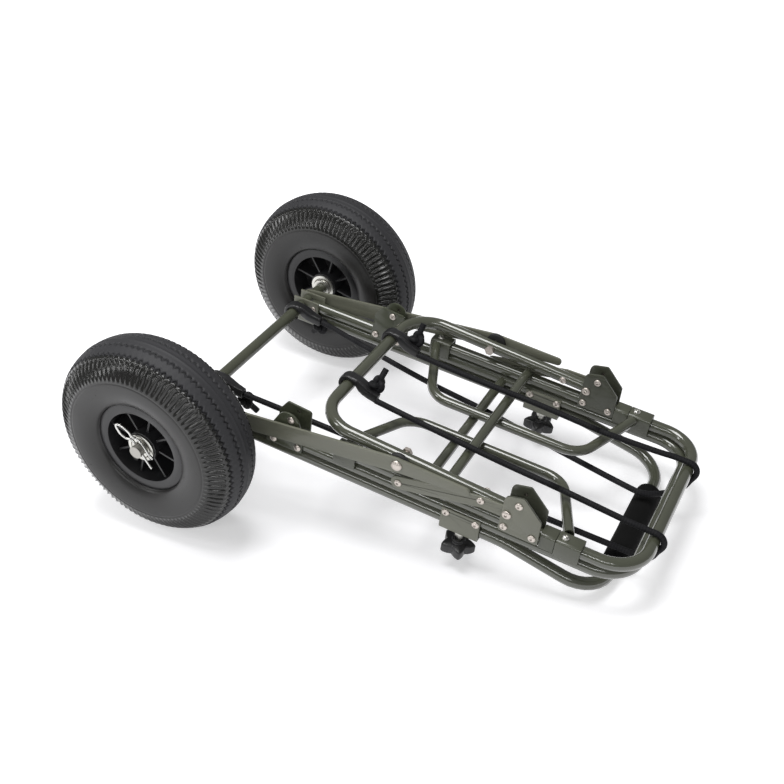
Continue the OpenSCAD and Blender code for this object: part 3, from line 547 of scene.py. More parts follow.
def plasticHook(name, place):
    h = hookSettings
    bar = Vector((place["bar"][0], place["bar"][1] + place["shift"], place["bar"][2]))
    pull = Vector((place["end"][0] - bar.x, 0, place["end"][1] - bar.z))
    reach = pull.length
    pull.normalize()
    across, up = Vector((0, 1, 0)), Vector((-pull.z, 0, pull.x))
    points, faces, band = [], [], []
    middle = h["innerRadius"] + h["bandThickness"] / 2
    for i in range(h["bandSteps"] + 1):
        share = i / h["bandSteps"]
        a = math.radians(h["from"] + (h["to"] - h["from"]) * share)
        out = pull * math.cos(a) + up * math.sin(a)
        slim = 1 - h["slimBy"] * max(0, (share - h["slimFrom"]) / (1 - h["slimFrom"]))
        band.append(roundedSection(bar + out * middle, out, across, h["bandThickness"] / 2 * slim,
                                   h["bandWidth"] / 2 * slim))
    skinOver(points, faces, band)
    shank = h["shank"] + [(reach, *h["shankEnd"])]
    skinOver(points, faces, [roundedSection(bar + pull * x + up * z, up, across, tall, wide)
                             for x, z, tall, wide in shank])
    rib = []
    for x, z, tall, wide in shank[1:]:
        crest = bar + pull * x + up * (z + tall - h["ribSunk"]) - across * (wide - h["ribInset"])
        rib.append(roundedSection(crest, up, across, h["ribHeight"], h["ribWidth"]))
    skinOver(points, faces, rib)
    hook = newObject(name, meshFrom(name, [railPoint(*p) for p in points], faces))
    faceOutward(hook.data)
    remesh = hook.modifiers.new("remesh", "REMESH")
    remesh.mode = "VOXEL"
    remesh.voxel_size = h["voxel"]
    soften = hook.modifiers.new("soften", "SMOOTH")
    soften.iterations = h["softenings"]
    soften.factor = h["softness"]
    settle(hook)
    smoothAll(hook.data)
    return finishPiece(hook, "black_plastic", place["body"], [place["node"]])


def cordKnot(name, place):
    # the cord's end, knotted where it leaves the hook, with a short tail
    h = hookSettings
    facing = Vector(place["facing"]).normalized()
    first = facing.cross(Vector((0, 1, 0))).normalized()
    second = facing.cross(first)
    centre = Vector(place["knot"])
    tail = Vector(place["tail"]).normalized()
    route = [centre + tail * h["tailLength"], centre + tail * (h["tailLength"] - h["tailTip"]),
             centre + tail * h["tailStart"]]
    for i in range(h["knotPoints"] - 1):
        t = 2 * math.pi * i / h["knotPoints"]
        route.append(centre + h["knotSize"] * (first * (math.sin(t) + 2 * math.sin(2 * t))
                                               + second * (math.cos(t) - 2 * math.cos(2 * t)))
                     - facing * h["knotDepth"] * math.sin(3 * t))
    smooth = smoothRoute([railPoint(*p) for p in route], h["knotSteps"])
    knot = newObject(name, sweptTube(name, smooth, h["knotCord"], h["knotSides"])[0])
    return finishPiece(knot, "cord_cover", place["body"])


hookPieces = {}
for name, place in hookSettings["places"].items():
    hookPieces[name] = [plasticHook(name + "Hook", place), cordKnot(name + "Knot", place)]
print("hooks made:", len(hookPieces))
for side in ("near", "far"):
    route = smoothRoute([railPoint(*p) for p in cordSettings[side]], cordSettings["steps"])
    meeting, cordLength = cordSettings["runsMeet"] * cordSettings["steps"], 0
    upperRun = route[:meeting + 1].copy()
    upperRun[-1] += (upperRun[-2] - upperRun[-1]) * cordSettings["runGap"]
    for run, path in (("Upper", upperRun), ("Lower", route[meeting:])):
        name = side + run + "Cord"
        mesh, runLength = sweptTube(name, path, cordSettings["diameter"] / 2, cordSettings["sides"])
        cordPiece = finishPiece(newObject(name, mesh), "cord_cover", "frame" if run == "Lower" else None,
                                [side + "_cord"])
        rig.cord(cordPiece, exit=tuple(path[0]), length=runLength, diameter=cordSettings["diameter"],
                far_end="fitting" if run == "Lower" else "object", stiffness="limp", lay="taut",
                path=path.tolist(), with_pieces=hookPieces[side + run])
        if run == "Upper":
            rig.blend(cordPiece, "frame", "load_rest", start=tuple(path[-1]), end=tuple(path[0]))
        cordLength += runLength
    print(side, "cord made, metres:", round(cordLength, 3))


clipSettings = {
    "wire": 0.0032, "sides": 14, "steps": 5, "lean": 122.02, "beyondWheel": 0.0367,
    # the loop leans away from the wheel past this place on the route, so that it clears the tyre when pulled
    "loopFrom": 22, "loopLeansOut": 0.2,
    # spring clip seen along the axle: a straight leg through it, an almond loop, and a leg over it
    "route": [(-28, 0), (-18, 0), (0, 0), (8.8, 0), (11.5, -0.1), (14, -1), (16.2, -3.4), (18.4, -7.4),
              (22, -10.2), (27, -10.9), (33, -9.3), (37.4, -7.4), (39.6, -5.2), (39.4, -2.4), (37, 0.2),
              (33, 2.0), (28, 2.8), (22.5, 2.4), (18.6, 2.2), (15.4, 4.4), (12.6, 7.8), (8, 10.0), (0, 10.4),
              (-10, 10.2), (-17, 11.6)],
}
for side, sign in (("near", -1), ("far", 1)):
    a = math.radians(clipSettings["lean"])
    acrossAxle = sign * (wheelY + clipSettings["beyondWheel"])
    clipCentre = Vector((-rails["middle"], acrossAxle, rails["axleHeight"]))
    outward, sideways = Vector((math.cos(a), 0, math.sin(a))), Vector((math.sin(a), 0, -math.cos(a)))
    wirePoints = []
    for x, w in clipSettings["route"]:
        leanOut = sign * max(0, x - clipSettings["loopFrom"]) * clipSettings["loopLeansOut"]
        wirePoints.append(clipCentre + (outward * x + sideways * w + Vector((0, leanOut, 0))) / 1000)
    wirePath = smoothRoute(wirePoints, clipSettings["steps"])
    wire = sweptTube(side + "Clip", wirePath, clipSettings["wire"] / 2, clipSettings["sides"])[0]
    finishPiece(newObject(side + "Clip", wire), "bright_steel", side + "_clip", [side + "_clip"])
print("clips made")


knobSettings = {"lobes": 5, "perLobe": 12, "tip": 22.0, "valley": 13.6, "pointedness": 1.15, "turn": 62,
                "hub": 8, "bore": 4.05, "rounding": 0.0014, "roundingSteps": 3, "roundedFrom": 35,
                # heights down from the middle, each with its share of the lobes' radius, or None on the hub
                "levels": [(-8.8, None), (-5.2, None), (-4.9, 0.86), (-3.6, 1.0), (7.0, 1.0), (8.8, 0.9)]}


def starKnob(name, sign):
    # pointed lobes round a raised hub, hung under the rail on its own screw
    g = knobSettings
    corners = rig.box(name + "_knob")
    centre = (Vector(corners[0]) + Vector(corners[1])) / 2
    down = railPoint(0, 0, -1) - railPoint(0, 0, 0)
    ahead = railPoint(1, 0, 0) - railPoint(0, 0, 0)
    across = Vector((0, 0.001, 0))
    levels, around = g["levels"], g["lobes"] * g["perLobe"]
    points, faces = [], []
    for z, share in levels:
        for k in range(around):
            a = 2 * math.pi * k / around + math.radians(g["turn"])
            lobe = (abs((k / g["perLobe"]) % 1 - 0.5) * 2) ** g["pointedness"]
            radius = g["hub"] if share is None else share * (g["valley"] + (g["tip"] - g["valley"]) * lobe)
            points.append(centre + ahead * radius * math.cos(a)
                          + across * sign * radius * math.sin(a) + down * z)
    for i in range(len(levels) - 1):
        faces += bandFaces(0, i, around)
    inner = len(points)
    for z in (levels[0][0], levels[-1][0]):
        for k in range(around):
            a = 2 * math.pi * k / around + math.radians(g["turn"])
            points.append(centre + ahead * g["bore"] * math.cos(a)
                          + across * sign * g["bore"] * math.sin(a) + down * z)
    last = (len(levels) - 1) * around
    for k in range(around):
        m = (k + 1) % around
        faces.append((k, inner + k, inner + m, m))
        faces.append((last + k, last + m, inner + around + m, inner + around + k))
        faces.append((inner + k, inner + around + k, inner + around + m, inner + m))
    knob = newObject(name + "Knob", meshFrom(name + "Knob", points, faces))
    faceOutward(knob.data)
    roundEdges(knob, g["rounding"], g["roundingSteps"], g["roundedFrom"])
    settle(knob)
    smoothAll(knob.data)
    finishPiece(knob, "black_plastic", name + "_knob", [name + "_knob"])


for side, sign in (("near", -1), ("far", 1)):
    starKnob(side, sign)
print("knobs made")


tyreSettings = {
    "pitches": 96, "outerRadius": 0.130, "width": 0.088, "beadRadius": 0.061, "seatRadius": 0.0521,
    "seatHalf": 0.0302, "footRadius": 61.2, "carcassInset": 8, "squareness": 0.9,
    "grooves": (-26.0, -11.0, 11.0, 26.0), "grooveWidth": 2.8, "grooveDepth": 3.0, "grooveFloor": 0.75,
    "zigzag": 2.0, "zigzagFrom": 9,
    # the tread lies a little under its middle seam and its edges
    "treadDip": 0.35, "seamHalf": 0.8, "treadHalf": 22,
    # angles from the crown between which the shoulder is fluted, and how far each end of a flute runs out
    "fluteFrom": 40, "fluteTo": 78, "fluteDepth": 2.6, "fluteRunOut": (5, 12),
    "mouldLine": 82, "mouldDepth": 0.5,
    "treadPlaces": (-18.5, -7, -4, -0.9, -0.45, 0.45, 0.9, 4, 7, 18.5, -15, 15, -22, 22),
    "sideAngles": (41, 43, 45.5, 50, 56, 62, 68, 74, 79, 81, 82, 83, 85, 88, 92, 97, 103, 109, 115, 121, 126),
    # columns of one pitch: place along it, share of the flute's depth, share of the zigzag
    "columns": [(0, 0, -1), (0.125, 0.3, -0.5), (0.25, 0.75, 0), (0.5, 1, 1), (0.75, 0.75, 0),
                (0.875, 0.3, -0.5), (1, 0, -1)],
}


def tyreCell():
    # one pitch of the tread, from bead to bead, about the axle
    t = tyreSettings
    midRadius = (t["outerRadius"] + t["beadRadius"]) * 500 - t["carcassInset"]
    half, halfWidth, power = t["outerRadius"] * 1000 - midRadius, t["width"] * 500, t["squareness"]

    def angleAt(y):
        return math.degrees(math.asin(min(1, abs(y) / halfWidth) ** (1 / power))) * (1 if y > 0 else -1)

    # places from side to side: (angle, place across the tread or None, 1 in a groove)
    stations = []
    for g in t["grooves"]:
        w = t["grooveWidth"] / 2
        stations += [(g - w, 0), (g - w * t["grooveFloor"], 1), (g + w * t["grooveFloor"], 1), (g + w, 0)]
    stations += [(y, 0) for y in t["treadPlaces"]]
    profile = [(angleAt(y), y, dip) for y, dip in stations]
    profile += [(a * sign, None, 0) for a in t["sideAngles"] for sign in (1, -1)]
    profile.sort(key=lambda p: -p[0])
    seat, foot = t["seatRadius"] * 1000, t["footRadius"]
    points = []
    for share, dent, lean in t["columns"]:
        turn = 2 * math.pi * (share - 0.5) / t["pitches"]
        ring = [(seat, t["seatHalf"] * 1000), (foot, t["seatHalf"] * 1000)]
        for a, y, dip in profile:
            here = math.radians(a)
            if y is not None:
                here = math.radians(angleAt(y + (t["zigzag"] * lean if abs(y) > t["zigzagFrom"] else 0.0)))
            c, s = math.cos(here), math.sin(here)
            radius = midRadius + half * math.copysign(abs(c) ** power, c)
            across = halfWidth * math.copysign(abs(s) ** power, s)
            depth = t["grooveDepth"] * dip
            if t["fluteFrom"] < abs(a) < t["fluteTo"]:
                into = min(1, (abs(a) - t["fluteFrom"]) / t["fluteRunOut"][0],
                           (t["fluteTo"] - abs(a)) / t["fluteRunOut"][1])
                depth += t["fluteDepth"] * dent * into
            if abs(a) == t["mouldLine"]:
                depth += t["mouldDepth"]
            if y is not None and t["seamHalf"] < abs(y) < t["treadHalf"] and not dip:
                depth += t["treadDip"]
            scale = math.hypot(radius - midRadius, across)
            radius -= depth * (radius - midRadius) / scale
            across -= depth * across / scale
            ring.append((radius, across))
        ring += [(foot, -t["seatHalf"] * 1000), (seat, -t["seatHalf"] * 1000)]
        points += [(r * math.sin(turn) / 1000, y / 1000, r * math.cos(turn) / 1000) for r, y in ring]
    count = len(points) // len(t["columns"])
    faces = []
    for i in range(len(t["columns"]) - 1):
        for k in range(count):
            j = (k + 1) % count
            faces.append((i * count + k, (i + 1) * count + k, (i + 1) * count + j, i * count + j))
    return meshFrom("tyreCell", points, faces)


def geometryTree(name, inputs=()):
    # a group from geometry to geometry, with these inputs besides
    tree = bpy.data.node_groups.new(name, "GeometryNodeTree")
    for label, kind in (("Geometry", "Geometry"), *inputs):
        tree.interface.new_socket(label, in_out="INPUT", socket_type="NodeSocket" + kind)
    tree.interface.new_socket("Geometry", in_out="OUTPUT", socket_type="NodeSocketGeometry")
    return tree, tree.nodes.new("NodeGroupInput"), tree.nodes.new("NodeGroupOutput")


def ringTree():
    # copies of the given mesh round the Y axis, joined into one skin
    tree, given, out = geometryTree("ringOfPitches", [("Count", "Int"), ("Centre", "Vector"),
                                                      ("Finish", "Material")])
    cell = tree.nodes.new("GeometryNodeGeometryToInstance")
    dots = tree.nodes.new("GeometryNodePoints")
    place = tree.nodes.new("GeometryNodeInstanceOnPoints")
    index = tree.nodes.new("GeometryNodeInputIndex")
    step = tree.nodes.new("ShaderNodeMath")
    step.operation = "DIVIDE"
    turn = tree.nodes.new("ShaderNodeMath")
    turn.operation = "MULTIPLY"
    turn.inputs[1].default_value = 2 * math.pi
    angles = tree.nodes.new("ShaderNodeCombineXYZ")
    real = tree.nodes.new("GeometryNodeRealizeInstances")
    join = tree.nodes.new("GeometryNodeMergeByDistance")
    join.inputs["Distance"].default_value = sameSpot
    smooth = tree.nodes.new("GeometryNodeSetShadeSmooth")
    paint = tree.nodes.new("GeometryNodeSetMaterial")
    link = tree.links.new
    link(given.outputs["Geometry"], cell.inputs[0])
    link(given.outputs["Count"], dots.inputs["Count"])
    link(given.outputs["Centre"], dots.inputs["Position"])
    link(index.outputs[0], step.inputs[0])
    link(given.outputs["Count"], step.inputs[1])
    link(step.outputs[0], turn.inputs[0])
    link(turn.outputs[0], angles.inputs["Y"])
    link(dots.outputs[0], place.inputs["Points"])
    link(cell.outputs[0], place.inputs["Instance"])
    link(angles.outputs[0], place.inputs["Rotation"])
    link(place.outputs[0], real.inputs[0])
    link(real.outputs[0], join.inputs[0])
    link(join.outputs[0], smooth.inputs[0])
    link(smooth.outputs[0], paint.inputs["Geometry"])
    link(given.outputs["Finish"], paint.inputs["Material"])
    link(paint.outputs[0], out.inputs[0])
    return tree


def setInput(modifier, label, value):
    for item in modifier.node_group.interface.items_tree:
        if item.item_type == "SOCKET" and item.in_out == "INPUT" and item.name == label:
            modifier[item.identifier] = value


pitchRing = ringTree()
for side, y in (("near", -wheelY), ("far", wheelY)):
    tyre = newObject(side + "Tyre", tyreCell())
    ring = tyre.modifiers.new("pitches", "NODES")
    ring.node_group = pitchRing
    setInput(ring, "Count", tyreSettings["pitches"])
    setInput(ring, "Centre", (-rails["middle"], y, rails["axleHeight"]))
    setInput(ring, "Finish", materials["tyre_rubber"])
    settle(tyre)
    finishPiece(tyre, "tyre_rubber", side + "_wheel", [side + "_tyre"])
    print(side, "tyre faces:", len(tyre.data.polygons))


rivetSettings = {
    # heights, widths and depths are shares of the head's diameter
    "head": {"rows": 6, "around": 20, "height": 0.46, "sunk": 0.02, "skirt": 0.05, "domeLift": 0.04,
             "domeShare": 0.86, "hole": 0.24, "holeTaper": 0.9, "holeLip": 0.01, "holeWall": 0.12,
             "holeDepth": 0.15},
    # body: the nodes replaced, and places: along, above, inner layer or None, outer layer, diameter
    "frame": (["frame_rivets", "catch_pins", "hinge_pins"],
              [(s, 0, "innerPlate", "outerPlate", 9.5) for s in (19, 120, 154, 355, 393)]
              + [(s, 18.3, "innerPlate", "coverPlate", 9.5) for s in (426, 460.7)]
              + [(438.3, 56, "innerPlate", "coverPlate", 9.5), (143, 38.5, "innerPlate", "outerPlate", 9.5),
                 (426.5, 37, "innerPlate", "coverPlate", 11.4)]),
    "load_rest": (["rest_rivets"], [(393.04, 38.61, "innerTube", "outerPlate", 9.5),
                                    (290.7, 13, None, "outerPlate", 9.5)]),
}


def rivetHead():
    # domed head with a small hole in its crown, unit diameter, standing on z = 0
    h = rivetSettings["head"]
    outline = [(0.5, -h["sunk"]), (0.5, h["skirt"])]
    for i in range(1, h["rows"] + 1):
        a = math.radians(90 * i / h["rows"]) * h["domeShare"]
        outline.append((0.5 * math.cos(a), h["height"] * math.sin(a) * 0.5 + h["domeLift"]))
    crown, hole, n = outline[-1][1], h["hole"] / 2, h["around"]
    outline += [(hole, crown + h["holeLip"]), (hole * h["holeTaper"], crown - h["holeWall"]),
                (0.0, crown - h["holeDepth"])]
    points = [(r * math.cos(2 * math.pi * k / n), r * math.sin(2 * math.pi * k / n), z)
              for r, z in outline[:-1] for k in range(n)]
    faces = [face for i in range(len(outline) - 2) for face in bandFaces(0, i, n)]
    points += [(0, 0, outline[-1][1]), (0, 0, outline[0][1])]
    top, low = len(points) - 2, len(points) - 1
    last = (len(outline) - 2) * n
    faces += [(last + k, last + (k + 1) % n, top) for k in range(n)]
    faces += [((k + 1) % n, k, low) for k in range(n)]
    mesh = meshFrom("rivetHead", points, faces)
    smoothAll(mesh)
    return mesh


def rivetTree():
    # a head at every point, turned to that point's outward direction
    tree, given, out = geometryTree("rivetsOnPoints", [("Head", "Object"), ("Finish", "Material")])
    head = tree.nodes.new("GeometryNodeObjectInfo")
    place = tree.nodes.new("GeometryNodeInstanceOnPoints")
    outward = tree.nodes.new("GeometryNodeInputNamedAttribute")
    outward.data_type = "FLOAT_VECTOR"
    outward.inputs["Name"].default_value = "outward"
    size = tree.nodes.new("GeometryNodeInputNamedAttribute")
    size.data_type = "FLOAT"
    size.inputs["Name"].default_value = "size"
    align = tree.nodes.new("FunctionNodeAlignRotationToVector")
    align.axis = "Z"
    real = tree.nodes.new("GeometryNodeRealizeInstances")
    paint = tree.nodes.new("GeometryNodeSetMaterial")
    link = tree.links.new
    link(given.outputs["Head"], head.inputs["Object"])
    link(given.outputs["Geometry"], place.inputs["Points"])
    link(head.outputs["Geometry"], place.inputs["Instance"])
    link(outward.outputs["Attribute"], align.inputs["Vector"])
    link(align.outputs[0], place.inputs["Rotation"])
    link(size.outputs["Attribute"], place.inputs["Scale"])
    link(place.outputs[0], real.inputs[0])
    link(real.outputs[0], paint.inputs["Geometry"])
    link(given.outputs["Finish"], paint.inputs["Material"])
    link(paint.outputs[0], out.inputs[0])
    return tree


headObject = newObject("headShape", rivetHead())
rivetNodes = rivetTree()
for body in ("frame", "load_rest"):
    replacedNodes, places = rivetSettings[body]
    spots = []
    for s, n, inner, outer, diameter in places:
        for sign in (-1, 1):
            spots.append((railPoint(s, sign * sideLayers[outer], n), (0, sign, 0), diameter / 1000))
            if inner:
                spots.append((railPoint(s, sign * sideLayers[inner], n), (0, -sign, 0), diameter / 1000))
    mesh = meshFrom(body + "Rivets", [p for p, d, w in spots], [])
    mesh.attributes.new("outward", "FLOAT_VECTOR", "POINT").data.foreach_set(
        "vector", [float(x) for p, d, w in spots for x in d])
    mesh.attributes.new("size", "FLOAT", "POINT").data.foreach_set("value", [w for p, d, w in spots])
    rivets = newObject(body + "Rivets", mesh)
    heads = rivets.modifiers.new("heads", "NODES")
    heads.node_group = rivetNodes
    setInput(heads, "Head", headObject)
    setInput(heads, "Finish", materials["bright_steel"])
    settle(rivets)
    finishPiece(rivets, "bright_steel", body, replacedNodes)
    rivets.data.materials[0] = materials["rivet_steel"]
    print(body, "rivet heads:", len(spots))
bpy.data.objects.remove(headObject)


gripSettings = {"s": 548, "n": -38.3, "length": 144, "radius": 16, "bore": 8.1, "edge": 4,
                "around": 56, "rings": 44,
                # shallow dents in the foam's skin, more than this above the bore
                "skin": 5, "dentDepth": 0.12, "dentsRound": 3, "dentTwist": 0.05, "dentAlong": 0.09}


def foamGrip():
    g = gripSettings
    outline = [(g["bore"], -g["length"] / 2)]
    for i in range(g["rings"] + 1):
        y = -g["length"] / 2 + g["length"] * i / g["rings"]
        toEnd = min(g["edge"], g["length"] / 2 - abs(y))
        roundedOff = g["edge"] - math.sqrt(max(0, g["edge"] ** 2 - (g["edge"] - toEnd) ** 2))
        outline.append((g["radius"] - roundedOff, y))
    outline.append((g["bore"], g["length"] / 2))
    points, faces = [], []
    n = g["around"]
    centre = railPoint(g["s"], 0, g["n"])
    for r, y in outline:
        depth = g["dentDepth"] if r > g["bore"] + g["skin"] else 0
        for k in range(n):
            a = 2 * math.pi * k / n
            dent = depth * math.sin(g["dentsRound"] * a + y * g["dentTwist"]) * math.sin(y * g["dentAlong"])
            reach = (r - abs(dent)) / 1000
            points.append((centre.x + reach * math.sin(a), y / 1000, centre.z + reach * math.cos(a)))
    count = len(outline)
    for i in range(count):
        j = (i + 1) % count
        for k in range(n):
            m = (k + 1) % n
            faces.append((i * n + k, i * n + m, j * n + m, j * n + k))
    mesh = meshFrom("foamGrip", points, faces)
    faceOutward(mesh)
    smoothAll(mesh)
    return mesh


grip = finishPiece(newObject("foamGrip", foamGrip()), "foam", "handle", ["handle_grip"])
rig.padded(grip, fill=1.0)
print("grip made")


dressing = {"rounding": {"plate_paint": 0.0005, "zinc": 0.0003, "matte_black": 0.0005, "rim_plastic": 0.0007},
            "roundingSteps": 2, "roundedFrom": 40, "smoothUpTo": 38}


def smoothByAngleTree(limit):
    # smooth shading with creases at edges sharper than the limit
    tree, given, out = geometryTree("smoothByAngle")
    soft = tree.nodes.new("GeometryNodeSetShadeSmooth")
    crease = tree.nodes.new("GeometryNodeSetShadeSmooth")
    crease.domain = "EDGE"
    angle = tree.nodes.new("GeometryNodeInputMeshEdgeAngle")
    below = tree.nodes.new("FunctionNodeCompare")
    below.operation = "LESS_THAN"
    below.inputs["B"].default_value = math.radians(limit)
    link = tree.links.new
    link(given.outputs[0], soft.inputs["Geometry"])
    link(soft.outputs[0], crease.inputs["Geometry"])
    link(angle.outputs["Unsigned Angle"], below.inputs["A"])
    link(below.outputs["Result"], crease.inputs["Shade Smooth"])
    link(crease.outputs[0], out.inputs[0])
    return tree


def axisDistance(tree):
    # how far a point is from the axle, and how far across, over Object coordinates
    where = tree.nodes.new("ShaderNodeTexCoord")
    split = tree.nodes.new("ShaderNodeSeparateXYZ")
    tree.links.new(where.outputs["Object"], split.inputs["Vector"])
    ahead = mathNode(tree, "ADD", split.outputs["X"], rails["middle"])
    above = mathNode(tree, "SUBTRACT", split.outputs["Z"], rails["axleHeight"])
    square = mathNode(tree, "ADD", mathNode(tree, "MULTIPLY", ahead, ahead),
                      mathNode(tree, "MULTIPLY", above, above))
    return mathNode(tree, "SQRT", square), mathNode(tree, "ABSOLUTE", split.outputs["Y"])


def between(tree, value, low, high):
    return mathNode(tree, "MULTIPLY", mathNode(tree, "GREATER_THAN", value, low),
                    mathNode(tree, "LESS_THAN", value, high))


def tintWhere(tree, mask, colour, rough):
    # another colour and roughness where the mask is 1
    shader = tree.nodes["Principled BSDF"]
    tint = tree.nodes.new("ShaderNodeMix")
    tint.data_type = "RGBA"
    tree.links.new(mask, tint.inputs["Factor"])
    tree.links.new(shader.inputs["Base Color"].links[0].from_socket, tint.inputs[6])
    tint.inputs[7].default_value = colour
    tree.links.new(tint.outputs[2], shader.inputs["Base Color"])
    grade = tree.nodes.new("ShaderNodeMix")
    tree.links.new(mask, grade.inputs["Factor"])
    tree.links.new(shader.inputs["Roughness"].links[0].from_socket, grade.inputs[2])
    grade.inputs[3].default_value = rough
    tree.links.new(grade.outputs[0], shader.inputs["Roughness"])


wheelWearGlossAndShade = {"shoulderRadius": 0.096, "shoulderColour": (0.012, 0.012, 0.011, 1), "shoulderRough": 0.2,
               "tread": (-0.0265, 0.0265), "treadRadius": 0.112,
               "treadColour": (0.024, 0.024, 0.027, 1), "treadRough": 0.66,
               # painted shade: a dark ring round the washer on the axle, where its groove would be in shade
               "ring": (0.0125, 0.0140), "grooveShadeColour": (0.16, 0.15, 0.13, 1), "ringRough": 0.5}
tyreTree = materials["tyre_rubber"].node_tree
fromAxle, fromMiddle = axisDistance(tyreTree)
treadBand = between(tyreTree, mathNode(tyreTree, "SUBTRACT", fromMiddle, wheelY), *wheelWearGlossAndShade["tread"])
treadMask = mathNode(tyreTree, "MULTIPLY", treadBand,
                     mathNode(tyreTree, "GREATER_THAN", fromAxle, wheelWearGlossAndShade["treadRadius"]))
shoulder = mathNode(tyreTree, "GREATER_THAN", fromAxle, wheelWearGlossAndShade["shoulderRadius"])
tintWhere(tyreTree, shoulder, wheelWearGlossAndShade["shoulderColour"], wheelWearGlossAndShade["shoulderRough"])
tintWhere(tyreTree, treadMask, wheelWearGlossAndShade["treadColour"], wheelWearGlossAndShade["treadRough"])
washerZincWithShade = materials["zinc"].copy()
washerZincWithShade.name = "ringed_zinc"
washerTree = washerZincWithShade.node_tree
# painted shade: the ring where the washer's groove lies is darkened
washerGrooveShade = between(washerTree, axisDistance(washerTree)[0], *wheelWearGlossAndShade["ring"])
tintWhere(washerTree, washerGrooveShade, wheelWearGlossAndShade["grooveShadeColour"], wheelWearGlossAndShade["ringRough"])


def bareEndedAxle():
    # olive paint between the wheels, bare steel past the hubs
    look = {"bareFrom": 0.247, "colour": (0.40, 0.39, 0.36, 1), "rough": 0.5}
    material = makeMaterial("axle_paint", {**finishes["olive_paint"], "coat": 0.2})
    tree = material.node_tree
    bare = mathNode(tree, "GREATER_THAN", axisDistance(tree)[1], look["bareFrom"])
    tintWhere(tree, bare, look["colour"], look["rough"])
    tree.links.new(bare, tree.nodes["Principled BSDF"].inputs["Metallic"])
    return material


def innerFaceShadePaint():
    # painted shade: the outward faces of the outer plates keep their pale paint, and every other face is darkened as
    # if in shade
    look = {"platesFrom": 0.134, "colour": (0.060, 0.064, 0.046, 1), "rough": 0.4}
    material = makeMaterial("bracket_paint_painted_shade", finishes["plate_paint"])
    tree = material.node_tree
    where, face = tree.nodes.new("ShaderNodeTexCoord"), tree.nodes.new("ShaderNodeNewGeometry")
    place, normal = tree.nodes.new("ShaderNodeSeparateXYZ"), tree.nodes.new("ShaderNodeSeparateXYZ")
    tree.links.new(where.outputs["Object"], place.inputs["Vector"])
    tree.links.new(face.outputs["Normal"], normal.inputs["Vector"])
    outward = mathNode(tree, "MULTIPLY", mathNode(tree, "SIGN", place.outputs["Y"]), normal.outputs["Y"])
    fromMiddle = mathNode(tree, "ABSOLUTE", place.outputs["Y"])
    beyond = mathNode(tree, "GREATER_THAN", fromMiddle, look["platesFrom"])
    unshadedFace = mathNode(tree, "MULTIPLY", mathNode(tree, "GREATER_THAN", outward, 0.5), beyond)
    # painted shade: the darker colour goes on every face that is not an outward face of an outer plate
    tintWhere(tree, mathNode(tree, "LESS_THAN", unshadedFace, 0.5), look["colour"], look["rough"])
    return material


bracketPaintedShade = innerFaceShadePaint()
clampPaint = makeMaterial("clamp_paint", {**finishes["olive_paint"], "coat": 0.3, "rough": (0.30, 0.42)})
# painted shade: the catch brackets take a darker copy of the olive paint
catchPaintedShade = makeMaterial("catch_paint_painted_shade", {**finishes["olive_paint"], "dark": (0.046, 0.052, 0.032),
                                          "light": (0.068, 0.075, 0.048), "coat": 0.3, "rough": (0.30, 0.42)})
ownFinish = {"axle": bareEndedAxle(), "axle_washers": washerZincWithShade, "prop_bolts": materials["rivet_steel"],
             "near_hinge_bracket": bracketPaintedShade, "far_hinge_bracket": bracketPaintedShade,
             "near_catch_bracket": catchPaintedShade, "far_catch_bracket": catchPaintedShade,
             "rail_end_clamps": clampPaint, "arm_end_clamps": clampPaint}
shading = smoothByAngleTree(dressing["smoothUpTo"])
slotOf = {part["node"]: part["material_slot"] for part in frame["record"]["subparts"]}
kept = 0
for name, node in frame["nodes"].items():
    if node.hide_render:
        continue
    slotName = slotOf[name]
    node.data.materials.clear()
    node.data.materials.append(ownFinish.get(name, materials[slotName]))
    weld = node.modifiers.new("weld", "WELD")
    weld.merge_threshold = sameSpot
    if slotName in dressing["rounding"]:
        roundEdges(node, dressing["rounding"][slotName], dressing["roundingSteps"], dressing["roundedFrom"])
    node.modifiers.new("shading", "NODES").node_group = shading
    kept += 1
print("solids dressed:", kept)


# the floor is lifted towards white where the camera sees it, straight or mirrored, and least near the trolley
studio = {"floorSize": 8.0, "floorColour": (0.80, 0.80, 0.82, 1), "floorRough": 0.9, "floorShine": 0.1,
          "liftReach": (0.15, 1.0), "lift": (0.32, 1.0), "worldStrength": 0.24}


def cameraOrMirror(tree):
    # 1 for what the camera sees, straight or through a mirror or glass
    path = tree.nodes.new("ShaderNodeLightPath")
    seen = mathNode(tree, "MAXIMUM", path.outputs["Is Camera Ray"], path.outputs["Is Glossy Ray"])
    return mathNode(tree, "MAXIMUM", seen, path.outputs["Is Transmission Ray"])


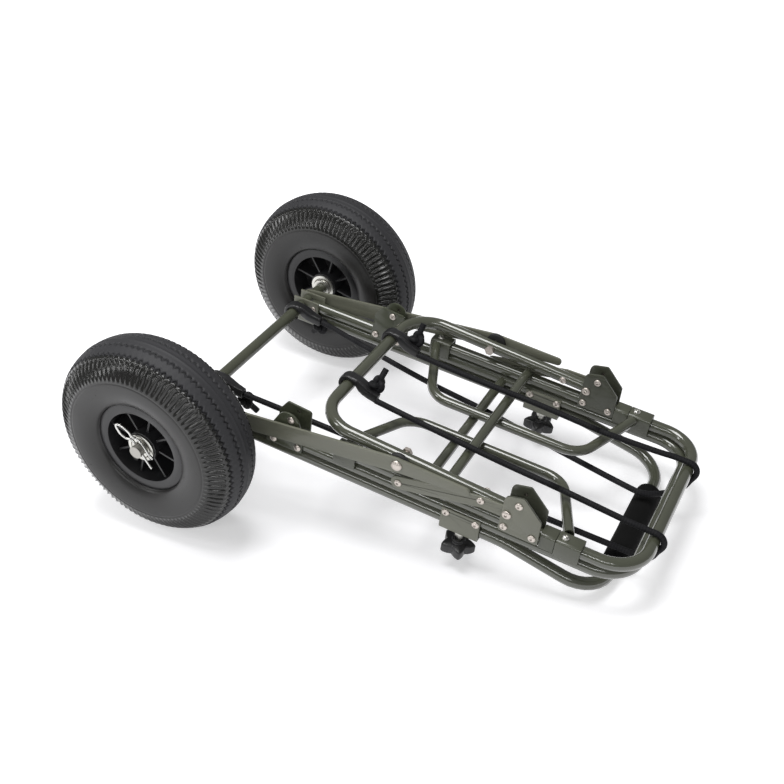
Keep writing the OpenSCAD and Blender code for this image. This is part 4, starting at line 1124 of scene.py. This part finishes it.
half = studio["floorSize"] / 2
floorCorners = [(-half, -half, 0), (half, -half, 0), (half, half, 0), (-half, half, 0)]
floor = newObject("floor", meshFrom("floor", floorCorners, [(0, 1, 2, 3)]))
floorMaterial = bpy.data.materials.new("floor")
floorMaterial.use_nodes = True
floorTree = floorMaterial.node_tree
floorShader = floorTree.nodes["Principled BSDF"]
floorShader.inputs["Base Color"].default_value = studio["floorColour"]
floorShader.inputs["Roughness"].default_value = studio["floorRough"]
floorShader.inputs["Specular IOR Level"].default_value = studio["floorShine"]
floorShader.inputs["Emission Color"].default_value = (1, 1, 1, 1)
floorPlace = floorTree.nodes.new("ShaderNodeTexCoord")
floorReach = floorTree.nodes.new("ShaderNodeVectorMath")
floorReach.operation = "LENGTH"
floorTree.links.new(floorPlace.outputs["Object"], floorReach.inputs[0])
lift = floorTree.nodes.new("ShaderNodeMapRange")
lift.inputs["From Min"].default_value, lift.inputs["From Max"].default_value = studio["liftReach"]
lift.inputs["To Min"].default_value, lift.inputs["To Max"].default_value = studio["lift"]
floorTree.links.new(floorReach.outputs["Value"], lift.inputs["Value"])
floorTree.links.new(mathNode(floorTree, "MULTIPLY", cameraOrMirror(floorTree), lift.outputs["Result"]),
                    floorShader.inputs["Emission Strength"])
floor.data.materials.append(floorMaterial)
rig.stage(floor)

world = bpy.data.worlds.new("studio")
bpy.context.scene.world = world
world.use_nodes = True
worldTree = world.node_tree
backdrop = worldTree.nodes["Background"]
backdrop.inputs["Color"].default_value = (1, 1, 1, 1)
path = worldTree.nodes.new("ShaderNodeLightPath")
lifted = mathNode(worldTree, "MULTIPLY", path.outputs["Is Camera Ray"], 1 - studio["worldStrength"])
worldTree.links.new(mathNode(worldTree, "ADD", lifted, studio["worldStrength"]), backdrop.inputs["Strength"])

lamps = {"overhead": {"place": (-0.3, -0.1, 2.0), "aim": (0.0, 0.0, 0.1), "size": (1.0, 1.0), "power": 28},
         "side": {"place": (-1.5, -1.1, 1.2), "aim": (-0.2, -0.1, 0.1), "size": (0.3, 1.2), "power": 8},
         "front": {"place": (0.4, -1.9, 1.4), "aim": (0.0, 0.0, 0.1), "size": (2.2, 0.14), "power": 13}}
for name, lamp in lamps.items():
    data = bpy.data.lights.new(name, "AREA")
    data.shape = "RECTANGLE"
    data.size, data.size_y = lamp["size"]
    data.energy = lamp["power"]
    light = bpy.data.objects.new(name, data)
    light.location = lamp["place"]
    light.rotation_mode = "QUATERNION"
    light.rotation_quaternion = (Vector(lamp["aim"]) - Vector(lamp["place"])).to_track_quat("-Z", "Y")
    bpy.context.collection.objects.link(light)
bpy.context.scene.view_settings.view_transform = "Standard"
print("studio ready")

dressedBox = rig.bounds()
with open("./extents.json", "w") as sizes:
    json.dump({"cad": [list(map(float, corner)) for corner in solidBox],
               "visual": [list(map(float, corner)) for corner in dressedBox]}, sizes)
